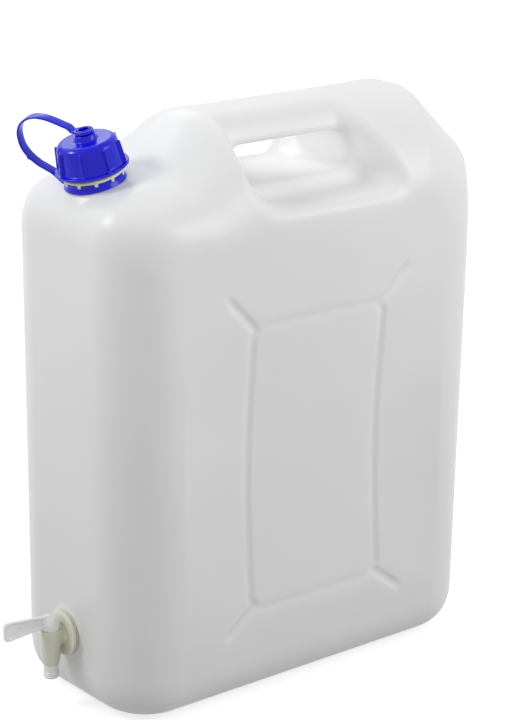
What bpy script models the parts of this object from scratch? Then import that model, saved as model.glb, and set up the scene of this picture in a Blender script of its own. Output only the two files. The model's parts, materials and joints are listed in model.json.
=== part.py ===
"""Jerrycan with tap: a blow-moulded water container, its tethered screw cap and its turning tap.

Units are metres, +Z is up. The origin is the centre of the base. X runs along the broad faces,
and the tap and the filler neck are at the -X end.
"""
from math import atan2, ceil, cos, pi, radians, sin, sqrt, tan

import bmesh
import bpy
from mathutils import Matrix, Vector

# Container: outside form
LENGTH = 0.350
DEPTH = 0.165
HEIGHT = 0.442
WALL = 0.002
KNEE_DROP = 0.0475
KNEE_INSET = 0.042
SLOPE_INSET = 0.110
HOLLOW_INSET = 0.068
BASE_RADIUS = 0.029
KNEE_RADIUS = 0.023
CREST_RADIUS = 0.012
BROW_RADIUS = 0.026
HOLLOW_RADIUS = 0.040
SHOULDER_RADIUS = 0.033
CUT_PAST = 0.004

# Rounding of the outline's edges towards the broad faces
LEFT_EDGE = 0.047
RIGHT_EDGE = 0.050
BASE_EDGE = 0.029
SLOPE_EDGE = 0.068
CROWN_EDGE = 0.079
HOLLOW_EDGE = 0.057
SHOULDER_EDGE = 0.040
FACE_STEP = 0.015
FACE_HOLLOW = 0.005
FACE_CORNER_RADIUS = 0.020
DISH_DEPTH = 0.0075
DISH_HALF_HEIGHT = 0.125

# Filler neck: its axis leans towards -X, square to the shoulder
NECK_INSET = 0.031
SHOULDER_DROP = 0.0425
NECK_LEAN = radians(14.0)
NECK_OUTSIDE = 0.0200
NECK_WALL = 0.0025
NECK_FOOT_STEP = 0.0008
NECK_HEIGHT = 0.0270
NECK_ROOT = 0.006
BEAD_PROUD = 0.0030
BEAD_HEIGHT = 0.0022
TOOTH_COUNT = 11
TOOTH_PHASE = 0.29
TOOTH_DROP = 0.0026
TOOTH_WIDTH = 0.0024
TOOTH_THICKNESS = 0.0009

# Grip: a recess in each broad face, and the hole between them
RECESS_LEFT_INSET = 0.109
RECESS_RIGHT_INSET = 0.092
RECESS_DROP = 0.0645
RECESS_RADIUS = 0.034
RECESS_RIGHT_RADIUS = 0.015
RECESS_DRAFT = radians(12.0)
BAR_HALF_WIDTH = 0.025
SILL_HALF_WIDTH = 0.043
HOLE_LEFT_INSET = 0.129
HOLE_RIGHT_INSET = 0.114
HOLE_RISE = 0.012
BAR_THICKNESS = 0.0245
HOLE_RADIUS = 0.0095
HOLE_EDGE_RADIUS = 0.005

# Grooves on the broad faces
GROOVE_HALF_WIDTH = 0.063
GROOVE_BOTTOM = 0.0727
GROOVE_DROP = 0.1465
ARM_REACH = 0.029
ARM_DROP = 0.0215
ARM_RISE = 0.030
ARM_OVERLAP = 0.006
ARM_CLEAR = 0.004
GROOVE_CORNER = 0.011
GROOVE_TUBE = 0.0075
GROOVE_DEPTH = 0.003

# Tapping boss and tap: heights go from the stub's axis, widths from the stub and the plug
TAP_HEIGHT = 0.0578
BOSS_RIM = 0.0012
BOSS_PROUD = 0.001
STUB_RADIUS = 0.0088
STUB_PLAY = 0.0007
STUB_BORE = 0.0042
STUB_TAPER = 0.70
STUB_INSIDE = 0.014
FLANGE_WIDTH = 0.0085
FLANGE_THICKNESS = 0.0030
GASKET_INSET = 0.0007
GASKET_THICKNESS = 0.0018
NUT_ACROSS_FLATS = 0.026
NUT_THICKNESS = 0.006
BARREL_OFFSET = 0.0157
BARREL_RISE = 0.0064
BARREL_FALL = 0.0216
BARREL_WALL = 0.0010
BARREL_CHAMFER = 0.0018
PLUG_TOP_RADIUS = 0.0070
PLUG_BOTTOM_RADIUS = 0.0055
SPOUT_LIP = 0.0003
SPOUT_LENGTH = 0.0112
SPOUT_BORE = 0.0030
SPOUT_RIDGE = 0.0012
HUB_LIP = 0.0006
HUB_HEIGHT = 0.0117
HUB_WAIST = 0.30
LEVER_REACH = 0.0410
LEVER_DIP = 0.0005
LEVER_ROOT_RISE = 0.0017
LEVER_ROOT_HEIGHT = 0.0120
LEVER_TIP_HEIGHT = 0.0161
LEVER_THICKNESS = 0.0034
LEVER_RIM = 0.0016
LEVER_RECESS = 0.0009
LEVER_HOLE = 0.0011
LEVER_HOLE_INSET = 0.0135
LEVER_CORNER = 0.0035
RING_SECTION = 0.0009
RING_DEPTH = 0.0010
RING_INSET_TOP = 0.0021
RING_INSET_BOTTOM = 0.0055

# Screw cap: widths go outwards from the neck
CAP_TOP_PROUD = 0.0016
CAP_SKIRT_PROUD = 0.0042
CAP_ROOF = 0.0041
CAP_WALL = 0.0018
CAP_FLANGE_WIDTH = 0.0028
CAP_FLANGE_THICKNESS = 0.0020
CAP_BEVEL = 0.0022
CAP_LIFT = 0.0022
RIB_COUNT = 8
RIB_PHASE = 0.91
RIB_WIDTH = 0.0020
RIB_PROUD = 0.0022
RIB_TOP_GAP = 0.0035
BOSS_FOOT_RADIUS = 0.0092
PEG_SEAT_RADIUS = 0.0072
PEG_SEAT_HEIGHT = 0.0042
PEG_RADIUS = 0.0050
PEG_WALL = 0.0012
SEAL_THICKNESS = 0.0015
SEAL_EDGE_GAP = 0.0010

# Tether: the guide is the strap's distance from the neck's axis and its height, over its reach
COLLAR_PROUD = 0.0032
SLEEVE_PROUD = 0.0017
COLLAR_HEIGHT = 0.0062
COLLAR_RIM = 0.0026
EYE_RADIUS = 0.0075
EYE_THICKNESS = 0.0030
STRAP_WIDTH = 0.0085
STRAP_THICKNESS = 0.0015
STRAP_HEADING = radians(60.0)
STRAP_REACH = 0.0512
STRAP_GUIDE = ((0.53, 0.10), (0.60, 0.18), (0.70, 0.25), (0.80, 0.32), (0.905, 0.43),
               (0.975, 0.55), (1.0, 0.665), (0.99, 0.81), (0.92, 0.93), (0.81, 0.995),
               (0.68, 1.015), (0.53, 0.99), (0.375, 0.93), (0.255, 0.865), (0.19, 0.81))

# Clearances, and the break of small edges
GAP = 0.0003
RUNNING = 0.0003
EDGE = 0.0005

# Fineness of the round forms
WELD = 2e-6
OUTSIDE = {"loft": 8, "arc": 4, "edges": (5, 5, 1, 4, 2, 2, 5), "flare": 4, "tube": 2}
INSIDE = {"loft": 6, "arc": 3, "edges": (3, 3, 1, 2, 1, 1, 3), "flare": 2, "tube": 1}
TURN_STEPS = 40
SMALL_TURN_STEPS = 24
BORE_STEPS = 16

# Places that follow from the sizes
NECK_X = NECK_INSET - LENGTH / 2
SHOULDER_HEIGHT = HEIGHT - SHOULDER_DROP
KNEE_HEIGHT = HEIGHT - KNEE_DROP
RECESS_SILL = HEIGHT - RECESS_DROP
GROOVE_TOP = HEIGHT - GROOVE_DROP
OUTLINE_RADII = (BASE_RADIUS, BASE_RADIUS, KNEE_RADIUS, CREST_RADIUS, BROW_RADIUS,
                 HOLLOW_RADIUS, SHOULDER_RADIUS)
NECK_BORE = NECK_OUTSIDE - NECK_WALL
NECK_FOOT_RADIUS = NECK_OUTSIDE + NECK_FOOT_STEP
BEAD_RADIUS = NECK_OUTSIDE + BEAD_PROUD
CAP_TOP_RADIUS = NECK_OUTSIDE + CAP_TOP_PROUD
CAP_SKIRT_RADIUS = NECK_OUTSIDE + CAP_SKIRT_PROUD
CAP_FLANGE_RADIUS = CAP_SKIRT_RADIUS + CAP_FLANGE_WIDTH
CAP_BASE = COLLAR_HEIGHT + 2 * GAP + BEAD_HEIGHT + CAP_LIFT
SEAL_TOP = NECK_HEIGHT + GAP + SEAL_THICKNESS + GAP
CAP_HEIGHT = SEAL_TOP + CAP_ROOF - CAP_BASE
PEG_SEAT = SEAL_TOP + CAP_ROOF + PEG_SEAT_HEIGHT
COLLAR_RADIUS = NECK_OUTSIDE + COLLAR_PROUD
SLEEVE_RADIUS = NECK_OUTSIDE + SLEEVE_PROUD
TAP_AXIS_X = -LENGTH / 2 - BARREL_OFFSET
FLANGE_RADIUS = STUB_RADIUS + FLANGE_WIDTH
GASKET_RADIUS = FLANGE_RADIUS - GASKET_INSET
BOSS_RADIUS = FLANGE_RADIUS + BOSS_RIM
BOSS_HOLE = STUB_RADIUS + STUB_PLAY
BARREL_TOP = TAP_HEIGHT + BARREL_RISE
BARREL_BOTTOM = TAP_HEIGHT - BARREL_FALL
BARREL_TOP_RADIUS = PLUG_TOP_RADIUS + RUNNING + BARREL_WALL
BARREL_BOTTOM_RADIUS = PLUG_BOTTOM_RADIUS + RUNNING + BARREL_WALL
SPOUT_RADIUS = PLUG_BOTTOM_RADIUS + SPOUT_LIP
SPOUT_BOTTOM = BARREL_BOTTOM - SPOUT_LENGTH
HUB_RADIUS = PLUG_TOP_RADIUS + HUB_LIP
LEVER_BOTTOM = BARREL_TOP - LEVER_DIP
RING_HEIGHTS = (BARREL_TOP - RING_INSET_TOP, BARREL_BOTTOM + RING_INSET_BOTTOM)
NECK_FRAME = (Matrix.Translation((NECK_X, 0.0, SHOULDER_HEIGHT))
              @ Matrix.Rotation(-NECK_LEAN, 4, "Y"))


def clear_scene():
    """Remove the objects of the open scene."""
    for item in list(bpy.data.objects):
        bpy.data.objects.remove(item, do_unlink=True)


def plastic(name, colour, roughness, transmission=0.0):
    """A moulded plastic or rubber material."""
    material = bpy.data.materials.new(name)
    material.use_nodes = True
    shader = material.node_tree.nodes["Principled BSDF"]
    shader.inputs["Base Color"].default_value = (*colour, 1.0)
    shader.inputs["Roughness"].default_value = roughness
    shader.inputs["Metallic"].default_value = 0.0
    shader.inputs["Transmission Weight"].default_value = transmission
    material.diffuse_color = (*colour, 1.0)
    return material


def mesh_object(name, points, faces, material=None):
    """An object from points and faces."""
    mesh = bpy.data.meshes.new(name)
    mesh.from_pydata([tuple(point) for point in points], [], faces)
    mesh.validate()
    item = bpy.data.objects.new(name, mesh)
    bpy.context.scene.collection.objects.link(item)
    if material is not None:
        mesh.materials.append(material)
    return item


def shade(item, angle=radians(32.0)):
    """Smooth shading with sharp edges kept."""
    item.data.shade_smooth()
    item.data.set_sharp_from_angle(angle=angle)


def face_outwards(item):
    """Turn every face of a closed mesh outwards and merge doubled points."""
    work = bmesh.new()
    work.from_mesh(item.data)
    bmesh.ops.remove_doubles(work, verts=work.verts, dist=1e-6)
    bmesh.ops.recalc_face_normals(work, faces=work.faces)
    work.to_mesh(item.data)
    work.free()


def weld(mesh):
    """Merge the doubled points that a cut can leave."""
    work = bmesh.new()
    work.from_mesh(mesh)
    bmesh.ops.remove_doubles(work, verts=work.verts, dist=WELD)
    bmesh.ops.dissolve_degenerate(work, edges=work.edges, dist=WELD)
    work.to_mesh(mesh)
    work.free()


def loft(name, rings, material=None):
    """A closed solid through rings of equally many points, capped at both ends."""
    count = len(rings[0])
    points = [point for ring in rings for point in ring]
    faces = []
    for level in range(len(rings) - 1):
        low = level * count
        high = low + count
        for k in range(count):
            after = (k + 1) % count
            faces.append((low + k, low + after, high + after, high + k))
    faces.append(tuple(range(count))[::-1])
    faces.append(tuple(range((len(rings) - 1) * count, len(rings) * count)))
    item = mesh_object(name, points, faces, material)
    face_outwards(item)
    return item


def revolve(name, profile, steps, material=None):
    """Spin a closed profile of (radius, height) points once round the Z axis."""
    work = bmesh.new()
    verts = [work.verts.new((radius, 0.0, height)) for radius, height in profile]
    pairs = zip(verts, verts[1:] + verts[:1])
    edges = [work.edges.new(pair) for pair in pairs if pair[0].co.x + pair[1].co.x > 0.0]
    bmesh.ops.spin(work, geom=verts + edges, cent=(0.0, 0.0, 0.0), axis=(0.0, 0.0, 1.0),
                   angle=2 * pi, steps=steps, use_merge=True)
    bmesh.ops.remove_doubles(work, verts=work.verts, dist=1e-6)
    bmesh.ops.recalc_face_normals(work, faces=work.faces)
    mesh = bpy.data.meshes.new(name)
    work.to_mesh(mesh)
    work.free()
    item = bpy.data.objects.new(name, mesh)
    bpy.context.scene.collection.objects.link(item)
    if material is not None:
        mesh.materials.append(material)
    return item


def place(item, matrix):
    """Write a placement into the mesh."""
    item.data.transform(matrix)
    if matrix.determinant() < 0:
        item.data.flip_normals()
    return item


def combine(target, tool, operation):
    """Cut or join a tool with a target, write the result into it and remove the tool."""
    step = target.modifiers.new(tool.name, "BOOLEAN")
    step.operation = operation
    step.solver = "EXACT"
    step.object = tool
    bpy.context.view_layer.update()
    graph = bpy.context.evaluated_depsgraph_get()
    mesh = bpy.data.meshes.new_from_object(target.evaluated_get(graph))
    target.modifiers.clear()
    old = target.data
    target.data = mesh
    mesh.name = old.name
    bpy.data.meshes.remove(old)
    weld(mesh)
    bpy.data.objects.remove(tool, do_unlink=True)


def cut(target, *tools):
    """Take the tools away from a target, one after another."""
    for tool in tools:
        combine(target, tool, "DIFFERENCE")
    return target


def join(target, *tools):
    """Fuse the tools with a target, one after another."""
    for tool in tools:
        combine(target, tool, "UNION")
    return target


def rounded_outline(corners, radii, steps, edge_steps=None):
    """Points round a polygon in a plane whose corners are rounded by arcs."""
    points = []
    count = len(corners)
    arcs = []
    for k, corner in enumerate(corners):
        corner = Vector(corner)
        before = Vector(corners[k - 1]) - corner
        after = Vector(corners[(k + 1) % count]) - corner
        angle = before.angle(after)
        reach = min(radii[k] / tan(angle / 2), 0.49 * before.length, 0.49 * after.length)
        radius = reach * tan(angle / 2)
        middle = (before.normalized() + after.normalized()).normalized()
        centre = corner + middle * (radius / sin(angle / 2))
        start = corner + before.normalized() * reach - centre
        end = corner + after.normalized() * reach - centre
        turn = atan2(start.x * end.y - start.y * end.x, start.dot(end))
        arcs.append([centre + Matrix.Rotation(turn * i / steps, 2) @ start
                     for i in range(steps + 1)])
    for k, arc in enumerate(arcs):
        points.extend(arc)
        parts = edge_steps[k] if edge_steps else 1
        goal = arcs[(k + 1) % count][0]
        for i in range(1, parts):
            points.append(arc[-1].lerp(goal, i / parts))
    return points


def inset_polygon(corners, distance):
    """The polygon whose edges lie a distance inside those of a counter-clockwise one."""
    result = []
    count = len(corners)
    for k in range(count):
        here = Vector(corners[k])
        arriving = (here - Vector(corners[k - 1])).normalized()
        leaving = (Vector(corners[(k + 1) % count]) - here).normalized()
        inward = Vector((-arriving.y, arriving.x)) + Vector((-leaving.y, leaving.x))
        inward.normalize()
        share = inward.dot(Vector((-leaving.y, leaving.x)))
        result.append(here + inward * (distance / share))
    return result


# Container

def shoulder_height(x):
    """Height of the sloping shoulder, square to the neck, at a place along X."""
    return SHOULDER_HEIGHT + (x - NECK_X) * tan(NECK_LEAN)


def body_corners():
    """Corners of the container's outline, seen from the front."""
    half = LENGTH / 2
    hollow = HOLLOW_INSET - half
    return [(-half, 0.0), (half, 0.0), (half, KNEE_HEIGHT), (half - KNEE_INSET, HEIGHT),
            (SLOPE_INSET - half, HEIGHT), (hollow, shoulder_height(hollow)),
            (-half, shoulder_height(-half))]


def face_corners():
    """Corners of the flat part of a broad face, where the rounding of its edges ends."""
    left = LEFT_EDGE - LENGTH / 2
    right = LENGTH / 2 - RIGHT_EDGE
    crown = HEIGHT - CROWN_EDGE
    return [(left, BASE_EDGE), (right, BASE_EDGE), (right, crown - FACE_STEP),
            (right - FACE_STEP, crown), (left + 3 * FACE_STEP, crown),
            (left + FACE_STEP, crown - FACE_HOLLOW), (left, crown - FACE_HOLLOW)]


def edge_reaches():
    """How deep along Y the rounding reaches at each corner, for its X and for its Z."""
    return ((LEFT_EDGE, BASE_EDGE), (RIGHT_EDGE, BASE_EDGE), (RIGHT_EDGE, SLOPE_EDGE),
            (SLOPE_EDGE, CROWN_EDGE), (CROWN_EDGE, CROWN_EDGE), (HOLLOW_EDGE, HOLLOW_EDGE),
            (LEFT_EDGE, SHOULDER_EDGE))


def edge_blend(depth, reach, offset):
    """How far an edge has come in at a distance from the middle plane: 0 none, 1 all."""
    reach = min(reach, DEPTH / 2)
    share = (depth - DEPTH / 2 + reach) / (reach - offset)
    share = min(max(share, 0.0), 1.0)
    return 1.0 - sqrt(1.0 - share * share)


def body_ring(depth, offset, fineness):
    """The container's section at a distance from its middle plane, shrunk by an offset."""
    outer = inset_polygon(body_corners(), offset)
    inner = face_corners()
    corners = []
    radii = []
    for k, (reach_x, reach_z) in enumerate(edge_reaches()):
        blend_x = edge_blend(depth, reach_x, offset)
        blend_z = edge_blend(depth, reach_z, offset)
        corners.append((outer[k].x + (inner[k][0] - outer[k].x) * blend_x,
                        outer[k].y + (inner[k][1] - outer[k].y) * blend_z))
        first = OUTLINE_RADII[k] + (offset if k == 5 else -offset)
        radii.append(first + (FACE_CORNER_RADIUS - first) * max(blend_x, blend_z))
    return rounded_outline(corners, radii, fineness["arc"], fineness["edges"])


def dish(x, z):
    """How far a broad face sinks in at a place on it."""
    middle = (GROOVE_BOTTOM + GROOVE_TOP) / 2
    across = abs(x) / (LENGTH / 2 - RIGHT_EDGE)
    along = abs(z - middle) / DISH_HALF_HEIGHT
    if across >= 1.0 or along >= 1.0:
        return 0.0
    return DISH_DEPTH * (1.0 - across ** 4) * (1.0 - along * along) ** 1.5


def face_rings(offset, side, fineness):
    """Rings that close one broad face, sunk by its dish."""
    edge = body_ring(DEPTH / 2 - offset, offset, fineness)
    middle = Vector((0.0, (GROOVE_BOTTOM + GROOVE_TOP) / 2))
    rings = []
    for share in (0.20, 0.42, 0.64, 0.86):
        ring = [point.lerp(middle, share) for point in edge]
        rings.append([(p.x, side * (DEPTH / 2 - offset - dish(p.x, p.y)), p.y) for p in ring])
    return rings


def body_loft(name, offset, fineness):
    """The container's closed form, or its inside at an offset."""
    rings = face_rings(offset, -1.0, fineness)[::-1]
    steps = fineness["loft"]
    for k in range(-steps, steps + 1):
        depth = (DEPTH / 2 - offset) * sin(pi / 2 * k / steps)
        rings.append([(p.x, depth, p.y) for p in body_ring(abs(depth), offset, fineness)])
    rings.extend(face_rings(offset, 1.0, fineness))
    return loft(name, rings)


def floor_depth(z):
    """Distance of the recess floor from the middle plane: it leans in towards the bar."""
    slope = (SILL_HALF_WIDTH - BAR_HALF_WIDTH) / (HEIGHT - RECESS_SILL)
    return BAR_HALF_WIDTH + (HEIGHT - z) * slope


def recess_outline(depth, grow):
    """Outline of a grip recess at a distance from the middle plane."""
    draft = (DEPTH / 2 - depth) * tan(RECESS_DRAFT)
    left = RECESS_LEFT_INSET - LENGTH / 2 + draft - grow
    right = LENGTH / 2 - RECESS_RIGHT_INSET - draft + grow
    sill = RECESS_SILL - grow
    top = HEIGHT + RECESS_RADIUS
    corners = [(left, sill), (right, sill), (right, top), (left, top)]
    radii = (RECESS_RADIUS - draft + grow, RECESS_RIGHT_RADIUS + grow, CUT_PAST, CUT_PAST)
    return rounded_outline(corners, radii, 6, (4, 4, 4, 4))


def recess_cutter(side, grow):
    """The solid that cuts one grip recess, its floor on the leaning plane."""
    rings = []
    floor = recess_outline(SILL_HALF_WIDTH, grow)
    rings.append([(p.x, side * (floor_depth(p.y) - grow), p.y) for p in floor])
    for depth in ((SILL_HALF_WIDTH + DEPTH / 2) / 2, DEPTH / 2 + CUT_PAST):
        rings.append([(p.x, side * depth, p.y) for p in recess_outline(depth, grow)])
    return loft("recess_cutter", rings)


def hole_outline(grow):
    """Outline of the grip hole, grown outwards."""
    left = HOLE_LEFT_INSET - LENGTH / 2 - grow
    right = LENGTH / 2 - HOLE_RIGHT_INSET + grow
    low = RECESS_SILL + HOLE_RISE - grow
    high = HEIGHT - BAR_THICKNESS + grow
    corners = [(left, low), (right, low), (right, high), (left, high)]
    return rounded_outline(corners, [HOLE_RADIUS + grow] * 4, 5, (4, 1, 4, 1))


def hole_cutter(grow, fineness):
    """The solid that cuts the grip hole, flared to round its edges."""
    half = []
    steps = fineness["flare"]
    for k in range(steps + 1):
        turn = pi / 2 * k / steps
        flare = HOLE_EDGE_RADIUS * (1.0 - cos(turn))
        back = HOLE_EDGE_RADIUS * (1.0 - sin(turn)) + grow
        half.append([(p.x, floor_depth(p.y) - back, p.y) for p in hole_outline(grow + flare)])
    half.append([(p.x, floor_depth(p.y) + 2 * HOLE_EDGE_RADIUS, p.y)
                 for p in hole_outline(grow + HOLE_EDGE_RADIUS)])
    front = [[(x, -y, z) for x, y, z in ring] for ring in half[::-1]]
    return loft("hole_cutter", front + half)


def tube(name, points, radius, resolution, cyclic=False):
    """A round bar along points."""
    curve = bpy.data.curves.new(name, "CURVE")
    curve.dimensions = "3D"
    curve.bevel_depth = radius
    curve.bevel_resolution = resolution
    curve.use_fill_caps = True
    spline = curve.splines.new("POLY")
    spline.points.add(len(points) - 1)
    for slot, point in zip(spline.points, points):
        slot.co = (*point, 1.0)
    spline.use_cyclic_u = cyclic
    source = bpy.data.objects.new(name, curve)
    bpy.context.scene.collection.objects.link(source)
    bpy.context.view_layer.update()
    graph = bpy.context.evaluated_depsgraph_get()
    mesh = bpy.data.meshes.new_from_object(source.evaluated_get(graph))
    bpy.data.objects.remove(source, do_unlink=True)
    item = bpy.data.objects.new(name, mesh)
    bpy.context.scene.collection.objects.link(item)
    face_outwards(item)
    return item


def on_face(x, z, side, lift):
    """A point a little outside a broad face."""
    return (x, side * (DEPTH / 2 - dish(x, z) + lift), z)


def groove_cutter(side, grow, fineness):
    """The joined round bars that cut the frame of grooves in one broad face."""
    lift = GROOVE_TUBE - GROOVE_DEPTH
    corners = [(-GROOVE_HALF_WIDTH, GROOVE_BOTTOM), (GROOVE_HALF_WIDTH, GROOVE_BOTTOM),
               (GROOVE_HALF_WIDTH, GROOVE_TOP), (-GROOVE_HALF_WIDTH, GROOVE_TOP)]
    path = rounded_outline(corners, [GROOVE_CORNER] * 4, 3, (4, 6, 4, 6))
    resolution = fineness["tube"]
    frame = tube("groove_frame", [on_face(p.x, p.y, side, lift) for p in path],
                 GROOVE_TUBE + grow, resolution, True)
    arms = [groove_arm(x, z, side, lift, GROOVE_TUBE + grow, resolution) for x, z in corners]
    return join(frame, *arms)


def groove_arm(x, z, side, lift, radius, resolution):
    """A round bar from a corner of the frame outwards that leaves the surface at its end."""
    outward = 1.0 if x > 0 else -1.0
    upward = -1.0 if z == GROOVE_BOTTOM else 1.0
    rise = ARM_DROP if upward < 0 else ARM_RISE
    start = Vector((x - outward * ARM_OVERLAP, z - upward * ARM_OVERLAP))
    goal = Vector((x + outward * ARM_REACH, z + upward * rise))
    points = []
    for share in (0.0, 0.25, 0.5, 0.75, 1.0):
        spot = start.lerp(goal, share)
        clear = (GROOVE_TUBE - lift + ARM_CLEAR) * max(0.0, share - 0.75) / 0.25
        points.append(on_face(spot.x, spot.y, side, lift + clear))
    return tube("groove_arm", points, radius, resolution)


def cavity():
    """The inside of the container."""
    inside = body_loft("cavity", WALL, INSIDE)
    cut(inside, recess_cutter(-1.0, WALL), recess_cutter(1.0, WALL), hole_cutter(WALL, INSIDE))
    cut(inside, groove_cutter(-1.0, WALL, INSIDE), groove_cutter(1.0, WALL, INSIDE))
    return inside


def neck_blank():
    """The neck with its bead, standing on the shoulder and rooted in it."""
    bead_low = COLLAR_HEIGHT + 2 * GAP
    profile = [(0.0, -NECK_ROOT), (NECK_FOOT_RADIUS, -NECK_ROOT),
               (NECK_FOOT_RADIUS, bead_low), (BEAD_RADIUS, bead_low),
               (BEAD_RADIUS, bead_low + BEAD_HEIGHT), (NECK_OUTSIDE, bead_low + BEAD_HEIGHT),
               (NECK_OUTSIDE, NECK_HEIGHT - EDGE), (NECK_OUTSIDE - EDGE, NECK_HEIGHT),
               (0.0, NECK_HEIGHT)]
    neck = revolve("neck", profile, TURN_STEPS)
    teeth = []
    for k in range(TOOTH_COUNT):
        radius = BEAD_RADIUS - TOOTH_THICKNESS / 2
        tooth = block("tooth", TOOTH_THICKNESS, TOOTH_WIDTH, TOOTH_DROP + 2 * EDGE)
        lift = bead_low - TOOTH_DROP / 2 + EDGE
        place(tooth, Matrix.Rotation(2 * pi * (k + TOOTH_PHASE) / TOOTH_COUNT, 4, "Z")
              @ Matrix.Translation((radius, 0.0, lift)))
        teeth.append(tooth)
    join(neck, *teeth)
    return place(neck, NECK_FRAME)


def block(name, length, width, height):
    """A box centred on the origin."""
    work = bmesh.new()
    bmesh.ops.create_cube(work, size=1.0)
    bmesh.ops.scale(work, vec=(length, width, height), verts=work.verts)
    mesh = bpy.data.meshes.new(name)
    work.to_mesh(mesh)
    work.free()
    item = bpy.data.objects.new(name, mesh)
    bpy.context.scene.collection.objects.link(item)
    return item


def cylinder(name, radius, low, high, steps=SMALL_TURN_STEPS):
    """A solid cylinder along Z."""
    return revolve(name, [(0.0, low), (radius, low), (radius, high), (0.0, high)], steps)


def along_stub(item):
    """Turn a piece made along +Z to lie along the tap's stub, pointing into the container."""
    return place(item, Matrix.Translation((-LENGTH / 2, 0.0, TAP_HEIGHT))
                 @ Matrix.Rotation(pi / 2, 4, "Y"))


def make_body(material):
    """The blow-moulded container, open at its neck and at the tapping boss."""
    body = body_loft("canister_body", 0.0, OUTSIDE)
    cut(body, recess_cutter(-1.0, 0.0), recess_cutter(1.0, 0.0), hole_cutter(0.0, OUTSIDE))
    cut(body, groove_cutter(-1.0, 0.0, OUTSIDE), groove_cutter(1.0, 0.0, OUTSIDE))
    boss_profile = [(0.0, -BOSS_PROUD), (BOSS_RADIUS - BOSS_PROUD / 2, -BOSS_PROUD),
                    (BOSS_RADIUS, -BOSS_PROUD / 2), (BOSS_RADIUS, WALL / 2), (0.0, WALL / 2)]
    boss = along_stub(revolve("boss", boss_profile, TURN_STEPS))
    join(body, neck_blank(), boss)
    bore = cylinder("bore", NECK_BORE, -NECK_ROOT - CUT_PAST, NECK_HEIGHT + CUT_PAST, TURN_STEPS)
    tap_hole = along_stub(cylinder("tap_hole", BOSS_HOLE, -BOSS_PROUD - CUT_PAST,
                                   WALL + CUT_PAST))
    cut(body, cavity(), place(bore, NECK_FRAME), tap_hole)
    body.data.materials.append(material)
    shade(body)
    return body


# Cap and tether

def make_cap(material):
    """The ribbed screw cap with the peg that the tether snaps on."""
    flange_top = CAP_BASE + CAP_FLANGE_THICKNESS
    top = CAP_BASE + CAP_HEIGHT
    bevel = CAP_BEVEL * 0.4
    peg_top = PEG_SEAT + EYE_THICKNESS + GAP
    outside = [(CAP_FLANGE_RADIUS - EDGE, CAP_BASE), (CAP_FLANGE_RADIUS, CAP_BASE + EDGE),
               (CAP_FLANGE_RADIUS, flange_top - EDGE), (CAP_FLANGE_RADIUS - EDGE, flange_top),
               (CAP_SKIRT_RADIUS, flange_top + EDGE / 2), (CAP_TOP_RADIUS, top - CAP_BEVEL),
               (CAP_TOP_RADIUS - bevel, top - bevel), (CAP_TOP_RADIUS - CAP_BEVEL, top),
               (BOSS_FOOT_RADIUS, top), (PEG_SEAT_RADIUS, PEG_SEAT - EDGE),
               (PEG_SEAT_RADIUS, PEG_SEAT), (PEG_RADIUS, PEG_SEAT),
               (PEG_RADIUS, peg_top - EDGE / 2), (PEG_RADIUS - EDGE / 2, peg_top),
               (PEG_RADIUS - PEG_WALL, peg_top), (PEG_RADIUS - PEG_WALL, top), (0.0, top)]
    fillet = 2 * EDGE
    inside = [(0.0, SEAL_TOP), (cap_skirt(SEAL_TOP) - CAP_WALL - fillet, SEAL_TOP),
              (cap_skirt(SEAL_TOP - 2 * fillet) - CAP_WALL, SEAL_TOP - 2 * fillet),
              (cap_skirt(CAP_BASE) - CAP_WALL, CAP_BASE)]
    cap = revolve("screw_cap", outside + inside, TURN_STEPS)
    ribs = [cap_rib(k) for k in range(RIB_COUNT)]
    join(cap, *ribs)
    cap.data.materials.append(material)
    place(cap, NECK_FRAME)
    shade(cap)
    return cap


def cap_skirt(height):
    """Outside radius of the cap's tapering skirt at a height along the neck."""
    share = (height - CAP_BASE) / CAP_HEIGHT
    return CAP_SKIRT_RADIUS + (CAP_TOP_RADIUS - CAP_SKIRT_RADIUS) * share


def cap_rib(index):
    """One upright grip rib with a rounded top."""
    low = CAP_BASE + CAP_FLANGE_THICKNESS - EDGE
    high = CAP_BASE + CAP_HEIGHT - RIB_TOP_GAP
    half = RIB_WIDTH / 2
    section = [(-half, low), (half, low)]
    for k in range(6):
        turn = pi * k / 5
        section.append((half * cos(turn), high - half + half * sin(turn)))
    rings = []
    for proud, taper in ((-CAP_WALL * 0.6, 1.0), (RIB_PROUD - EDGE, 1.0), (RIB_PROUD, 0.55)):
        rings.append([(cap_skirt(z) + proud, y * taper, z) for y, z in section])
    rib = loft("rib", rings)
    return place(rib, Matrix.Rotation(2 * pi * (index + RIB_PHASE) / RIB_COUNT, 4, "Z"))


def make_seal(material):
    """The sealing disc on the rim of the neck."""
    low = NECK_HEIGHT + GAP
    high = low + SEAL_THICKNESS
    radius = cap_skirt(high) - CAP_WALL - SEAL_EDGE_GAP
    profile = [(0.0, low), (radius - EDGE, low), (radius, low + EDGE),
               (radius, high - EDGE), (radius - EDGE, high), (0.0, high)]
    seal = revolve("cap_seal", profile, TURN_STEPS, material)
    place(seal, NECK_FRAME)
    shade(seal)
    return seal


def make_collar(material):
    """The tether's ring round the foot of the neck."""
    inner = NECK_FOOT_RADIUS + RUNNING
    profile = [(inner, GAP), (COLLAR_RADIUS - EDGE, GAP), (COLLAR_RADIUS, GAP + EDGE),
               (COLLAR_RADIUS, COLLAR_RIM - EDGE), (COLLAR_RADIUS - EDGE, COLLAR_RIM),
               (SLEEVE_RADIUS, COLLAR_RIM + EDGE), (SLEEVE_RADIUS, COLLAR_HEIGHT),
               (inner, COLLAR_HEIGHT)]
    collar = revolve("tether_collar", profile, TURN_STEPS, material)
    place(collar, NECK_FRAME)
    shade(collar)
    return collar


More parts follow.
